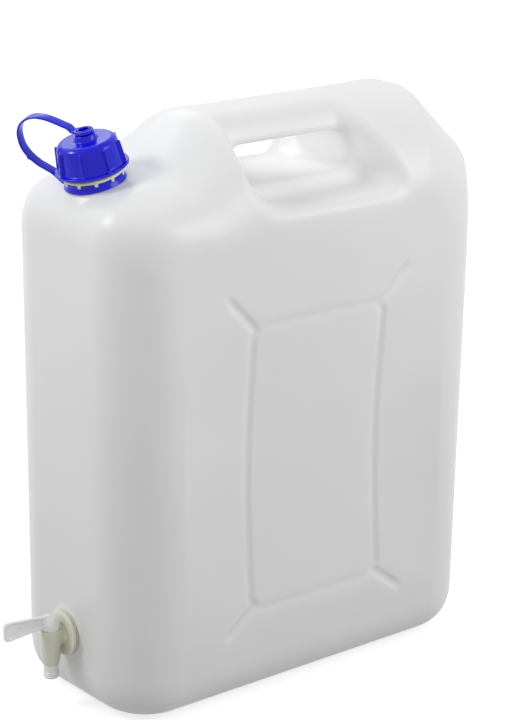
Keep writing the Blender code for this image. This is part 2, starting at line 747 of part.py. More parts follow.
def make_eye(material):
    """The ring that snaps on the cap's peg."""
    low = PEG_SEAT + GAP
    high = low + EYE_THICKNESS - GAP
    inner = PEG_RADIUS + RUNNING
    profile = [(inner, low), (EYE_RADIUS - EDGE, low), (EYE_RADIUS, low + EDGE),
               (EYE_RADIUS, high - EDGE), (EYE_RADIUS - EDGE, high), (inner, high)]
    eye = revolve("tether_eye", profile, SMALL_TURN_STEPS, material)
    place(eye, NECK_FRAME)
    shade(eye)
    return eye


def strap_route():
    """The strap's middle line as (distance from the neck's axis, height along it)."""
    start = (COLLAR_RADIUS + GAP, (GAP + COLLAR_RIM) / 2)
    guide = [(out * STRAP_REACH, up * STRAP_REACH) for out, up in STRAP_GUIDE]
    end = (EYE_RADIUS + 2 * GAP, PEG_SEAT + EYE_THICKNESS / 2)
    return smooth_line([start] + guide + [end], 2)


def smooth_line(guide, parts):
    """A Catmull-Rom curve through guide points."""
    line = []
    last = len(guide) - 1
    for k in range(last):
        p0 = Vector(guide[max(k - 1, 0)])
        p1 = Vector(guide[k])
        p2 = Vector(guide[k + 1])
        p3 = Vector(guide[min(k + 2, last)])
        for i in range(parts):
            t = i / parts
            line.append(0.5 * ((2 * p1) + (p2 - p0) * t + (2 * p0 - 5 * p1 + 4 * p2 - p3) * t * t
                               + (3 * p1 - p0 - 3 * p2 + p3) * t ** 3))
    line.append(Vector(guide[last]))
    return line


def make_strap(material):
    """The flexible strap from the collar up and over to the eye."""
    line = strap_route()
    rings = []
    for k, point in enumerate(line):
        before = line[max(k - 1, 0)]
        after = line[min(k + 1, len(line) - 1)]
        along = (after - before).normalized()
        if k == 0 or k == len(line) - 1:
            along = Vector((1.0 if k == 0 else -1.0, 0.0))
        across = Vector((-along.y, along.x)) * (STRAP_THICKNESS / 2)
        half = STRAP_WIDTH / 2
        lean = 0.0
        if k in (0, len(line) - 1):
            radius = point.x
            lean = radius - sqrt(radius * radius - half * half)
        rings.append([(point.x - across.x - lean, -half, point.y - across.y),
                      (point.x - across.x, 0.0, point.y - across.y),
                      (point.x - across.x - lean, half, point.y - across.y),
                      (point.x + across.x - lean, half, point.y + across.y),
                      (point.x + across.x, 0.0, point.y + across.y),
                      (point.x + across.x - lean, -half, point.y + across.y)])
    strap = loft("tether_strap", rings, material)
    place(strap, NECK_FRAME @ Matrix.Rotation(pi - STRAP_HEADING, 4, "Z"))
    shade(strap)
    return strap


# Tap

def make_barrel(material):
    """The tap's housing: upright tapered barrel, stub, flange and the threaded end inside."""
    middle = (BARREL_TOP + BARREL_BOTTOM) / 2
    foot = PLUG_BOTTOM_RADIUS + 2 * RUNNING
    profile = [(0.0, BARREL_BOTTOM), (foot, BARREL_BOTTOM),
               (BARREL_BOTTOM_RADIUS, BARREL_BOTTOM + BARREL_CHAMFER),
               ((BARREL_TOP_RADIUS + BARREL_BOTTOM_RADIUS) / 2, middle),
               (BARREL_TOP_RADIUS, BARREL_TOP - EDGE),
               (BARREL_TOP_RADIUS - EDGE, BARREL_TOP), (0.0, BARREL_TOP)]
    barrel = revolve("tap_barrel", profile, SMALL_TURN_STEPS, material)
    place(barrel, Matrix.Translation((TAP_AXIS_X, 0.0, 0.0)))
    flange_face = -BOSS_PROUD - GAP - GASKET_THICKNESS - GAP
    flange_back = flange_face - FLANGE_THICKNESS
    neck = STUB_RADIUS * STUB_TAPER
    inner_end = -BARREL_OFFSET - PLUG_BOTTOM_RADIUS * 0.2
    stub = [(0.0, inner_end), (neck, inner_end), (neck, flange_back),
            (FLANGE_RADIUS - 2 * EDGE, flange_back),
            (FLANGE_RADIUS, flange_back + 2 * EDGE), (FLANGE_RADIUS, flange_face - EDGE / 2),
            (FLANGE_RADIUS - EDGE / 2, flange_face), (STUB_RADIUS, flange_face),
            (STUB_RADIUS, STUB_INSIDE), (0.0, STUB_INSIDE)]
    join(barrel, along_stub(revolve("stub", stub, TURN_STEPS)))
    drill_end = -BARREL_OFFSET - PLUG_BOTTOM_RADIUS * 0.3
    drill = [(0.0, drill_end), (STUB_BORE, drill_end),
             (STUB_BORE, STUB_INSIDE + CUT_PAST), (0.0, STUB_INSIDE + CUT_PAST)]
    seat_low = PLUG_BOTTOM_RADIUS + RUNNING
    seat_high = PLUG_TOP_RADIUS + RUNNING
    seat = [(0.0, BARREL_BOTTOM - CUT_PAST), (seat_low, BARREL_BOTTOM - CUT_PAST),
            (seat_low, BARREL_BOTTOM), (seat_high, BARREL_TOP),
            (seat_high, BARREL_TOP + CUT_PAST), (0.0, BARREL_TOP + CUT_PAST)]
    hollow = place(revolve("seat", seat, SMALL_TURN_STEPS),
                   Matrix.Translation((TAP_AXIS_X, 0.0, 0.0)))
    cut(barrel, hollow, along_stub(revolve("drill", drill, BORE_STEPS)))
    shade(barrel)
    return barrel


def plug_radius(height):
    """Radius of the conical plug at a height."""
    share = (height - BARREL_BOTTOM) / (BARREL_TOP - BARREL_BOTTOM)
    return PLUG_BOTTOM_RADIUS + (PLUG_TOP_RADIUS - PLUG_BOTTOM_RADIUS) * share


def make_plug(material):
    """The turning piece: hub, lever, conical plug with its cross bore, and spout."""
    groove = SPOUT_RADIUS - SPOUT_LIP
    profile = [(0.0, SPOUT_BOTTOM), (groove - EDGE, SPOUT_BOTTOM),
               (groove, SPOUT_BOTTOM + SPOUT_RIDGE)]
    for k in range(2, 5):
        ridge = SPOUT_BOTTOM + SPOUT_RIDGE * k
        profile += [(SPOUT_RADIUS, ridge), (groove, ridge + SPOUT_RIDGE / 2)]
    profile += [(SPOUT_RADIUS, SPOUT_BOTTOM + SPOUT_RIDGE * 5),
                (SPOUT_RADIUS, BARREL_BOTTOM - GAP), (PLUG_BOTTOM_RADIUS, BARREL_BOTTOM - GAP)]
    for height in reversed(RING_HEIGHTS):
        half = RING_SECTION + RUNNING / 2
        radius = plug_radius(height)
        profile += [(plug_radius(height - half), height - half),
                    (radius - RING_DEPTH - RING_SECTION, height - half),
                    (radius - RING_DEPTH - RING_SECTION, height + half),
                    (plug_radius(height + half), height + half)]
    profile += [(PLUG_TOP_RADIUS, BARREL_TOP + GAP), (HUB_RADIUS, BARREL_TOP + GAP)]
    dome = HUB_HEIGHT - GAP
    for k in range(6):
        turn = pi / 2 * k / 5
        profile.append((HUB_RADIUS * cos(turn) ** 0.55 if k < 5 else 0.0,
                        BARREL_TOP + GAP + dome * (HUB_WAIST + (1.0 - HUB_WAIST) * sin(turn))))
    plug = revolve("tap_plug", profile, SMALL_TURN_STEPS, material)
    join(plug, lever_blank())
    bore_top = TAP_HEIGHT + SPOUT_BORE
    bore = cylinder("bore", SPOUT_BORE, SPOUT_BOTTOM - CUT_PAST, bore_top, BORE_STEPS)
    window = cylinder("window", SPOUT_BORE, 0.0, HUB_RADIUS + CUT_PAST, BORE_STEPS)
    place(window, Matrix.Translation((0.0, 0.0, TAP_HEIGHT)) @ Matrix.Rotation(pi / 2, 4, "X"))
    cut(plug, bore, window, *lever_recesses())
    place(plug, Matrix.Translation((TAP_AXIS_X, 0.0, 0.0)))
    shade(plug)
    return plug


def lever_outline(inset=0.0):
    """Side outline of the lever paddle in X and Z, from its root to its tip."""
    root = -HUB_RADIUS * 0.6 - inset * 2.4
    tip = -LEVER_REACH
    low = LEVER_BOTTOM
    corners = [(tip + inset, low + inset), (root, low + LEVER_ROOT_RISE + inset),
               (root, low + LEVER_ROOT_HEIGHT - inset),
               (tip + inset, low + LEVER_TIP_HEIGHT - inset)]
    radius = max(LEVER_CORNER - inset, EDGE)
    return rounded_outline(corners, (radius, EDGE, EDGE, radius), 4)


def lever_blank():
    """The upright paddle, its rim rounded over."""
    half = LEVER_THICKNESS / 2
    rings = []
    for y, inset in ((-half, EDGE), (-half + EDGE, 0.0), (half - EDGE, 0.0), (half, EDGE)):
        rings.append([(p.x, y, p.y) for p in lever_outline(inset)])
    return loft("lever", rings)


def lever_recesses():
    """Cutters for the sunk panel on each side of the paddle and for its small hole."""
    half = LEVER_THICKNESS / 2
    tools = []
    for side in (-1.0, 1.0):
        rings = [[(p.x, side * depth, p.y) for p in lever_outline(LEVER_RIM + grow)]
                 for depth, grow in ((half - LEVER_RECESS, EDGE), (half + CUT_PAST, 0.0))]
        tools.append(loft("panel", rings))
    middle = LEVER_BOTTOM + LEVER_TIP_HEIGHT / 2
    hole = cylinder("hang_hole", LEVER_HOLE, -CUT_PAST, CUT_PAST, BORE_STEPS)
    place(hole, Matrix.Translation((LEVER_HOLE_INSET - LEVER_REACH, 0.0, middle))
          @ Matrix.Rotation(pi / 2, 4, "X"))
    tools.append(hole)
    return tools


def make_o_ring(index, material):
    """A seal ring in its groove on the plug."""
    height = RING_HEIGHTS[index]
    radius = plug_radius(height) - RING_DEPTH - RING_SECTION + RUNNING
    middle = radius + RING_SECTION
    section = []
    for k in range(6):
        turn = 2 * pi * k / 6
        section.append((middle + RING_SECTION * cos(turn), height + RING_SECTION * sin(turn)))
    ring = revolve("tap_o_ring_upper" if index == 0 else "tap_o_ring_lower", section,
                   SMALL_TURN_STEPS, material)
    place(ring, Matrix.Translation((TAP_AXIS_X, 0.0, 0.0)))
    shade(ring, radians(60.0))
    return ring


def make_gasket(material):
    """The rubber washer between the tap's flange and the boss."""
    low = -BOSS_PROUD - GAP - GASKET_THICKNESS
    high = -BOSS_PROUD - GAP
    inner = STUB_RADIUS + RUNNING
    profile = [(inner, low), (GASKET_RADIUS - EDGE, low), (GASKET_RADIUS, low + EDGE),
               (GASKET_RADIUS, high - EDGE), (GASKET_RADIUS - EDGE, high), (inner, high)]
    gasket = along_stub(revolve("tap_gasket", profile, TURN_STEPS, material))
    shade(gasket)
    return gasket


def make_nut(material):
    """The six-sided nut that holds the tap from inside the container."""
    low = WALL + 2 * GAP
    high = low + NUT_THICKNESS
    corner = NUT_ACROSS_FLATS / 2 / cos(pi / 6)
    rings = []
    for level, share in ((low, 0.96), (low + EDGE, 1.0), (high - EDGE, 1.0), (high, 0.96)):
        rings.append([(corner * share * cos(pi / 3 * k), corner * share * sin(pi / 3 * k), level)
                      for k in range(6)])
    nut = loft("tap_nut", rings, material)
    cut(nut, cylinder("nut_bore", STUB_RADIUS + RUNNING, low - CUT_PAST, high + CUT_PAST,
                      TURN_STEPS))
    along_stub(nut)
    shade(nut)
    return nut


def set_origin(item, point):
    """Move an object's origin to a point without moving its mesh in the world."""
    item.data.transform(Matrix.Translation(-Vector(point)))
    item.location = point


def main():
    clear_scene()
    natural = plastic("natural_polyethylene", (0.86, 0.87, 0.86), 0.42, 0.25)
    blue = plastic("blue_polypropylene", (0.006, 0.006, 0.62), 0.30)
    white = plastic("white_acetal", (0.80, 0.81, 0.82), 0.35)
    ivory = plastic("ivory_polyethylene", (0.62, 0.62, 0.46), 0.40)
    rubber = plastic("grey_rubber", (0.30, 0.30, 0.29), 0.70)
    foam = plastic("white_seal_foam", (0.75, 0.75, 0.73), 0.65)
    make_body(natural)
    neck_foot = NECK_FRAME.translation
    cap_pieces = [make_cap(blue), make_seal(foam), make_collar(blue), make_eye(blue),
                  make_strap(blue)]
    for item in cap_pieces:
        set_origin(item, neck_foot)
    tap_foot = (TAP_AXIS_X, 0.0, BARREL_BOTTOM)
    tap_pieces = [make_barrel(ivory), make_plug(white), make_o_ring(0, rubber),
                  make_o_ring(1, rubber)]
    for item in tap_pieces:
        set_origin(item, tap_foot)
    make_gasket(rubber)
    make_nut(ivory)


main()
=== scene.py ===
"""Looks of the jerrycan with tap: smooth moulded skins round the fixed frame, materials and studio.

Each rigid piece is described by a distance field, negative inside, that is meshed on a fine grid,
so its edges and roots have the soft fillets of a moulding. Metres, +Z up.
"""
import json
from math import atan2, cos, hypot, pi, radians, sin, tan

import bpy
import numpy as np
import openvdb
from mathutils import Matrix, Vector


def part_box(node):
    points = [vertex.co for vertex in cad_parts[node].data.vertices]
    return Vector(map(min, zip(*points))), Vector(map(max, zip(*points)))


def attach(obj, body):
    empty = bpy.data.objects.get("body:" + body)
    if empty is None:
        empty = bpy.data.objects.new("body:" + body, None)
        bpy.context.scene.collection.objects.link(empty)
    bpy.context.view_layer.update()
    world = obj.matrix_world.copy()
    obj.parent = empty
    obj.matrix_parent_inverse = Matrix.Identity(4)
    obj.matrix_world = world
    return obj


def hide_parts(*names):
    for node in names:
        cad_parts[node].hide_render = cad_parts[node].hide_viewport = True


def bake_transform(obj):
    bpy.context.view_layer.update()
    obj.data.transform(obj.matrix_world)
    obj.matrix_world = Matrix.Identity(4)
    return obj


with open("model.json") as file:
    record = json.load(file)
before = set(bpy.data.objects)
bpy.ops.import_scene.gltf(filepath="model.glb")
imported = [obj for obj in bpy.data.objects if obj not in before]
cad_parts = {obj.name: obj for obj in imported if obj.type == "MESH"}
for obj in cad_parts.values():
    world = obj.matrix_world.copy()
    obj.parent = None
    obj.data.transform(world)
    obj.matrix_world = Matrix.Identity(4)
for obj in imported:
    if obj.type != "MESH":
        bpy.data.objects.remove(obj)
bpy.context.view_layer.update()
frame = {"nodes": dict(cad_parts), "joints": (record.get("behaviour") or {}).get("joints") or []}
joints = {joint["name"]: joint for joint in frame["joints"]}

# Shared: play between pieces, how far one form is let into the next, room round a sampled piece,
# a smooth joint's width at a square corner over its radius, and a number that counts as none.
# EDGE and FILLET in a small piece's name give the width over which an edge or a root is rounded.
GAP = 0.0003
OVERLAP = 0.001
MARGIN = 0.001
NEAR_MARGIN = 0.0008
ROUND_WIDTH = 1.17
TINY = 1e-6

# Container: its size is the frame's, and its outline's corners lie in from its ends
body_low, body_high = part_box("canister_body")
LENGTH = 2 * body_high.x
DEPTH = body_high.y - body_low.y
HEIGHT = body_high.z
KNEE_HEIGHT = HEIGHT - 0.0475
KNEE_INSET = 0.042
BROW_INSET = 0.110
HOLLOW_INSET = 0.068
BASE_RADIUS = 0.029
KNEE_RADIUS = 0.023
CREST_RADIUS = 0.010
BROW_RADIUS = 0.026
HOLLOW_RADIUS = 0.040
SHOULDER_RADIUS = 0.033

# Rounding of the outline's edges towards the broad faces, and how these faces are dished
RIGHT_EDGE_LOW = 0.0535
RIGHT_EDGE_HIGH = 0.0455
LEFT_EDGE_LOW = 0.047
LEFT_EDGE_HIGH = 0.046
SLOPE_EDGE = 0.072
CROWN_EDGE = 0.081
BROW_EDGE = 0.079
BROW_FLATTENING = 0.85
SHOULDER_EDGE = 0.037
EDGE_BLEND = 0.010
DISH_DEPTH = 0.0075
DISH_HALF_LENGTH = 0.126
DISH_HALF_HEIGHT = 0.125
DISH_SQUARENESS = 4
DISH_SOFTNESS = 1.5

# Grip: a recess on each face and a hole between them; the recess's rim widens from its left end
RECESS_LEFT = 0.109 - LENGTH / 2
RECESS_RIGHT = LENGTH / 2 - 0.092
RECESS_SILL = HEIGHT - 0.0630
RECESS_RADIUS = 0.038
RECESS_RIGHT_RADIUS = 0.014
RECESS_DRAFT = tan(radians(12.0))
RECESS_RIGHT_DRAFT = tan(radians(25.5))
RECESS_ROOT = 0.008
LEFT_RIM = 0.0035
WIDE_RIM = 0.011
LEFT_RIM_REACH = 0.020
BAR_HALF_WIDTH = 0.025
SILL_HALF_WIDTH = 0.048
HOLE_LEFT = 0.129 - LENGTH / 2
HOLE_RIGHT = LENGTH / 2 - 0.114
HOLE_SILL = HEIGHT - 0.0525
HOLE_TOP = HEIGHT - 0.0245
HOLE_RADIUS = 0.0095
HOLE_EDGE = 0.0065

# Painted light in the grip hole, an emission that stands in for light through the thin walls: its
# strength, and where it starts to fade as a share of its reach
PAINTED_HOLE_GLOW = 0.24
PAINTED_HOLE_GLOW_CORE = 0.25
PAINTED_HOLE_GLOW_CENTRE = (0.060, -0.008, HOLE_SILL + 0.009)
PAINTED_HOLE_GLOW_REACH = (0.115, 0.060, 0.030)

# Grooves of the broad faces, with an arm at each corner of their rectangle. The arm's inset, fillet
# and fade are shares of the corner's radius, of the groove's depth and of the arm's length.
GROOVE_HALF_WIDTH = 0.063
GROOVE_BOTTOM = 0.0727
GROOVE_TOP = 0.2955
GROOVE_CORNER = 0.011
ARM_REACH = 0.029
ARM_DROP = 0.0215
ARM_RISE = 0.030
ARM_INSET = 0.3
ARM_FILLET = 0.4
GROOVE_REACH = 0.0052
GROOVE_DEPTH = 0.0026
LEVEL_GROOVE = 0.45
ARM_FADE = 0.30
GROOVE_SHOULDER = 1.4

# Neck, from the joint that the cap turns on; its skin is cut off below, inside the container
NECK_FOOT = Vector(joints["cap_turn"]["pos_m"])
NECK_AXIS = joints["cap_turn"]["axis"]
NECK_LEAN = atan2(-NECK_AXIS[0], NECK_AXIS[2])
NECK_FRAME = Matrix.Translation(NECK_FOOT) @ Matrix.Rotation(-NECK_LEAN, 4, "Y")
NECK_OUTSIDE = 0.0200
NECK_FOOT_RADIUS = 0.0208
NECK_BORE = 0.0175
NECK_HEIGHT = 0.0270
NECK_BELOW = 0.0200
NECK_CUT = 0.008
NECK_RIM_EDGE = 0.0012
NECK_FOOT_EDGE = 0.0004
NECK_FILLET = 0.0006
BORE_START = 0.006
BORE_START_EDGE = 0.001
BORE_RIM_EDGE = 0.0008
NECK_SEAT_RADIUS = 0.0232
NECK_SEAT_FILLET = 0.005
NECK_SEAT_DROP = 0.0013
NECK_SEAT_DEPTH = 0.008
NECK_SEAT_FLARE = 0.25
NECK_SEAT_EDGE = 0.002
BEAD_RADIUS = 0.0230
BEAD_LOW = 0.0068
BEAD_HIGH = 0.0090
BEAD_EDGE = 0.0010
TOOTH_COUNT = 11
TOOTH_PHASE = 0.29
TOOTH_DROP = 0.0026
TOOTH_HALF_WIDTH = 0.0013
TOOTH_THICKNESS = 0.0012
TOOTH_EDGE = 0.0008
TOOTH_END_EDGE = 0.0012
TOOTH_FILLET = 0.0010
THREAD_PITCH = 0.0060
THREAD_PROUD = 0.0009
THREAD_LOW = 0.0125
THREAD_HIGH = NECK_HEIGHT - 0.004
THREAD_STEEPNESS = 1.2
THREAD_END_EDGE = 0.001
THREAD_FILLET = 0.0005

# Cap
CAP_BASE = 0.0112
CAP_HEIGHT = 0.0220
CAP_TOP = CAP_BASE + CAP_HEIGHT
CAP_EDGE = 0.0008
CAP_SKIRT_RADIUS = 0.0242
CAP_TOP_RADIUS = 0.0216
CAP_BEVEL = 0.0026
CAP_BEVEL_EDGE = 0.0012
CAP_FLANGE_RADIUS = 0.0270
CAP_FLANGE_THICKNESS = 0.0020
CAP_FLANGE_FILLET = 0.0014
CAP_WALL = 0.0018
CAP_ROOF = 0.0291
CAP_ROOF_FILLET = 0.0015
RIB_COUNT = 8
RIB_PHASE = 0.91
RIB_HALF_WIDTH = 0.0010
RIB_PROUD = 0.0022
RIB_TOP_GAP = 0.0035
RIB_EDGE = 0.0010
RIB_FILLET = 0.0007
PEG_FOOT_RADIUS = 0.0086
PEG_FOOT_FILLET = 0.0010
PEG_SEAT_RADIUS = 0.0072
PEG_SEAT_HEIGHT = 0.0042
PEG_SEAT = CAP_TOP + PEG_SEAT_HEIGHT
PEG_RADIUS = 0.0050
PEG_EDGE = 0.0006
PEG_BORE = 0.0038
PEG_BORE_DEPTH = 0.0090

# Tether: the strap's guide is its distance from the neck's axis and its height, over its reach
COLLAR_RADIUS = 0.0232
COLLAR_SLEEVE = 0.0217
COLLAR_BORE = 0.0211
COLLAR_HEIGHT = 0.0062
COLLAR_CONE = 0.0038
COLLAR_EDGE = 0.0006
EYE_RADIUS = 0.0070
EYE_THICKNESS = 0.0030
EYE_EDGE = 0.0008
EYE_BORE_EDGE = 0.0006
EYE_LUG_REACH = 0.0084
EYE_LUG_EDGE = 0.0004
EYE_LUG_FILLET = 0.0005
STRAP_WIDTH = 0.0085
STRAP_THICKNESS = 0.0015
STRAP_FOOT_HEIGHT = 0.00145
STRAP_HEADING = radians(60.0)
STRAP_REACH = 0.0512
STRAP_GUIDE = ((0.53, 0.10), (0.60, 0.18), (0.70, 0.25), (0.80, 0.32), (0.905, 0.43),
               (0.975, 0.55), (1.0, 0.665), (0.99, 0.81), (0.92, 0.93), (0.81, 0.995),
               (0.68, 1.015), (0.53, 0.985), (0.40, 0.93), (0.292, 0.875), (0.21, 0.83))
STRAP_END_RISE = 0.0006
STRAP_BAR = Vector(STRAP_GUIDE[4]) * STRAP_REACH
STRAP_BAR_PROUD = 0.0011
STRAP_BAR_HALF_WIDTH = 0.0011
STRAP_BAR_SQUARENESS = 4
STRAP_PARTS = 8
STRAP_RIM_PARTS = 8
SHARP_ANGLE = radians(50.0)

# Tap, from the joint that its plug turns on; the lever's root is a share of the hub's radius
TAP_X = joints["tap_turn"]["pos_m"][0]
WALL_X = -LENGTH / 2
TAP_HEIGHT = 0.0578
BARREL_TOP = 0.0642
BARREL_BOTTOM = 0.0362
BARREL_TOP_RADIUS = 0.0083
BARREL_BOTTOM_RADIUS = 0.0068
BARREL_FOOT_RADIUS = 0.0062
BARREL_CHAMFER = 0.0018
BARREL_EDGE = 0.0008
BARREL_BORE_EDGE = 0.0004
PLUG_TOP_RADIUS = 0.0070
PLUG_BOTTOM_RADIUS = 0.0055
BOSS_RADIUS = 0.0185
BOSS_PROUD = 0.001
BOSS_EDGE = 0.002
BOSS_FILLET = 0.003
BOSS_DEPTH = 0.02
FLANGE_RADIUS = 0.0173
FLANGE_THICKNESS = 0.0030
FLANGE_EDGE = 0.0014
FLANGE_FILLET = 0.0016
GASKET_THICKNESS = 0.0018
STUB_RADIUS = 0.0088
STUB_TAPER = 0.80
STUB_FILLET = 0.0024
STUB_BORE = 0.0042
SPOUT_RADIUS = 0.0061
SPOUT_BOTTOM = 0.0250
SPOUT_EDGE = 0.0007
SPOUT_BORE = 0.0030
SPOUT_BORE_EDGE = 0.0005
SPOUT_RIDGE = 0.0016
SPOUT_RIDGE_PROUD = 0.0004
RIDGES_LOW = SPOUT_BOTTOM + SPOUT_RIDGE * 0.75
RIDGES_HIGH = SPOUT_BOTTOM + SPOUT_RIDGE * 3.75
HUB_BASE = BARREL_TOP + GAP
HUB_RADIUS = 0.0070
HUB_TOP = 0.0759
HUB_WAIST = HUB_BASE + (HUB_TOP - HUB_BASE) * 0.3
HUB_EDGE = 0.0008
LEVER_REACH = 0.0410
LEVER_BOTTOM = 0.0637
LEVER_ROOT_RISE = 0.0034
LEVER_TIP_HEIGHT = 0.0161
LEVER_ROOT_HEIGHT = 0.0120
LEVER_ROOT = 0.3
LEVER_THICKNESS = 0.0034
LEVER_EDGE = 0.0010
LEVER_FILLET = 0.0035
LEVER_CORNER = 0.0035
LEVER_ROOT_CORNER = 0.001
LEVER_HOLE = 0.0007
LEVER_HOLE_INSET = 0.0135
LEVER_HOLE_EDGE = 0.0004
PANEL_RIM = 0.0012
PANEL_DEPTH = 0.0014
PANEL_GAP = 0.0012
PANEL_FLOOR_FILLET = 0.0003
PANEL_END_FILLET = 0.0008
PANEL_EDGE = 0.0004

# Painted shade: colour of the container's wall at the base, against 1 at the top, darker where less
# light falls on the lower faces
PAINTED_BASE_SHADE = 0.86

# Materials: the cloudy variation of colour and gloss, and the fine grain of the surface
CLOUD = {"scale": 9.0, "detail": 3.0}
CLOUD_SHADES = (0.94, 1.04)
CLOUD_GLOSS = (-0.05, 0.08)
GRAIN = {"scale": 900.0, "detail": 4.0}
GRAIN_STRENGTH = 0.08
GRAIN_DEPTH = 0.0002
MATERIALS = {
    "milky_polyethylene": {"colour": (0.86, 0.865, 0.86), "roughness": 0.34, "subsurface": 0.35,
                           "radius": 0.005},
    "blue_polypropylene": {"colour": (0.005, 0.005, 0.66), "roughness": 0.17, "specular": 0.32},
    "neck_polyethylene": {"colour": (0.80, 0.80, 0.60), "roughness": 0.34, "subsurface": 0.3,
                          "radius": 0.003},
    "ivory_polyethylene": {"colour": (0.72, 0.72, 0.59), "roughness": 0.28, "subsurface": 0.3,
                           "radius": 0.004},
    "white_acetal": {"colour": (0.86, 0.86, 0.86), "roughness": 0.26},
    "grey_rubber": {"colour": (0.60, 0.60, 0.53), "roughness": 0.65},
    "seal_foam": {"colour": (0.75, 0.75, 0.73), "roughness": 0.6},
}

# Fineness of the meshes, and the grid steps that a field is kept for beside its surface
BODY_STEP = 0.0014
SMALL_STEP = 0.00035
EYE_STEP = SMALL_STEP * 0.7
PLUG_STEP = SMALL_STEP * 0.8
BAND_STEPS = 3

# Camera, fitted to the outline, the grooves, the cap and the tap in the photograph
PHOTO_WIDTH = 521
PHOTO_HEIGHT = 720
CAMERA_AZIMUTH = -38.68
CAMERA_ELEVATION = 19.40
CAMERA_ROLL = 0.455
CAMERA_PLACE = (-1.056, -1.299, 0.7701)
FOCAL_PIXELS = 2270.0
CENTRE_PIXEL = (233.8, 431.0)
SENSOR = 36.0
CLIP_NEAR = 0.05
CLIP_FAR = 30.0

# Studio: brightness of the even light and of the floor, and the three lamps
WHITE = (1.0, 1.0, 1.0, 1.0)
AMBIENT = 0.59
FLOOR_COLOUR = 0.45
FLOOR_ROUGHNESS = 0.9
FLOOR_GLOW = 0.73
FLOOR_REACH = 6.0
LEFT_LAMP = {"place": (-1.1, 0.45, 1.15), "aim": (0.0, 0.0, 0.3), "size": (0.32, 0.32), "power": 6.6}
FRONT_LAMP = {"place": (0.6, -1.1, 0.9), "aim": (0.0, 0.0, 0.25), "size": (0.7, 0.7), "power": 6.2}
BACK_LAMP = {"place": (0.0, 0.95, 1.15), "aim": (0.0, 0.0, 0.4), "size": (1.1, 0.35), "power": 2.2}


# Distance fields

def smooth_max(a, b, width):
    """The larger of two fields, rounded over where they meet."""
    share = np.maximum(width - np.abs(a - b), 0.0) / width
    return np.maximum(a, b) + share * share * width * 0.25


def smooth_min(a, b, width):
    """The smaller of two fields, filleted where they meet."""
    return -smooth_max(-a, -b, width)


def beside_line(x, z, start, goal):
    """Distance to the right of a directed line in a plane."""
    along = (goal[0] - start[0], goal[1] - start[1])
    length = hypot(*along)
    return ((x - start[0]) * along[1] - (z - start[1]) * along[0]) / length


def corner_width(before, corner, after, radius):
    """Width of the smooth joint that rounds a polygon's corner by a radius."""
    arriving = atan2(corner[1] - before[1], corner[0] - before[0])
    leaving = atan2(after[1] - corner[1], after[0] - corner[0])
    turn = abs((leaving - arriving + pi) % (2 * pi) - pi)
    return 4 * radius * (1 - cos(turn / 2))


def polygon_field(x, z, corners, radii):
    """Field of a convex polygon, given counter-clockwise, with rounded corners.

    The radii are those of the corners after the first, which is rounded together with the last.
    """
    count = len(corners)
    result = beside_line(x, z, corners[0], corners[1])
    for k in range(1, count):
        here = corners[k]
        after = corners[(k + 1) % count]
        width = corner_width(corners[k - 1], here, after, radii[k - 1])
        result = smooth_max(result, beside_line(x, z, here, after), width)
    return result


def tube_field(x, y, z, radius, low, high, edge):
    """Field of a round bar along Z with softened end edges."""
    return smooth_max(np.hypot(x, y) - radius, np.maximum(low - z, z - high), edge)


def from_nearest(turn, count, phase):
    """Angle from the nearest of evenly spaced places round an axis."""
    spacing = 2 * pi / count
    return np.abs((turn - phase * spacing + spacing / 2) % spacing - spacing / 2)


def samples(low, high, step):
    """Grid coordinates along the three axes, shaped so that they broadcast."""
    counts = [int((b - a) / step) + 2 for a, b in zip(low, high)]
    x = (low[0] + step * np.arange(counts[0]))[:, None, None]
    y = (low[1] + step * np.arange(counts[1]))[None, :, None]
    z = (low[2] + step * np.arange(counts[2]))[None, None, :]
    return x, y, z


def skin(name, field, low, step, place=None):
    """A smooth mesh object over the zero level of a sampled field."""
    band = BAND_STEPS * step
    grid = openvdb.FloatGrid(band)
    grid.copyFromArray(np.clip(field, -band, band).astype(np.float32))
    points, quads = grid.convertToQuads(0.0)
    points = points * step + np.array(low)
    mesh = bpy.data.meshes.new(name)
    mesh.vertices.add(len(points))
    mesh.vertices.foreach_set("co", points.astype(np.float32).ravel())
    mesh.loops.add(4 * len(quads))
    mesh.loops.foreach_set("vertex_index", quads[:, ::-1].astype(np.int32).ravel())
    mesh.polygons.add(len(quads))
    mesh.polygons.foreach_set("loop_start", np.arange(len(quads), dtype=np.int32) * 4)
    mesh.update(calc_edges=True)
    mesh.validate()
    mesh.shade_smooth()
    if place is not None:
        mesh.transform(place)
    item = bpy.data.objects.new(name, mesh)
    bpy.context.scene.collection.objects.link(item)
    return item


# Container

def shoulder_height(x):
    """Height of the sloping shoulder, square to the neck."""
    return NECK_FOOT.z + (x - NECK_FOOT.x) * tan(NECK_LEAN)


def outline_corners():
    """Corners of the container's outline, seen from the front."""
    half = LENGTH / 2
    hollow = HOLLOW_INSET - half
    return [(-half, 0.0), (half, 0.0), (half, KNEE_HEIGHT), (half - KNEE_INSET, HEIGHT),
            (BROW_INSET - half, HEIGHT), (hollow, shoulder_height(hollow)),
            (-half, shoulder_height(-half))]


def outline_fields(x, z):
    """Field of the outline above its base, and the fields of its edges and of its roof."""
    corners = outline_corners()
    count = len(corners)
    edges = [beside_line(x, z, corners[k], corners[(k + 1) % count]) for k in range(1, count)]
    right, slope, crown, brow, shoulder, left = edges
    radii = (KNEE_RADIUS, CREST_RADIUS, BROW_RADIUS, HOLLOW_RADIUS, SHOULDER_RADIUS)
    knee, crest, bend, hollow, end = [
        corner_width(corners[k - 1], corners[k], corners[(k + 1) % count], radius)
        for k, radius in enumerate(radii, 2)]
    roof = smooth_min(brow, shoulder, hollow)
    right_part = smooth_max(smooth_max(right, slope, knee), crown, crest)
    left_part = smooth_max(left, roof, end)
    return smooth_max(right_part, left_part, bend), edges, roof


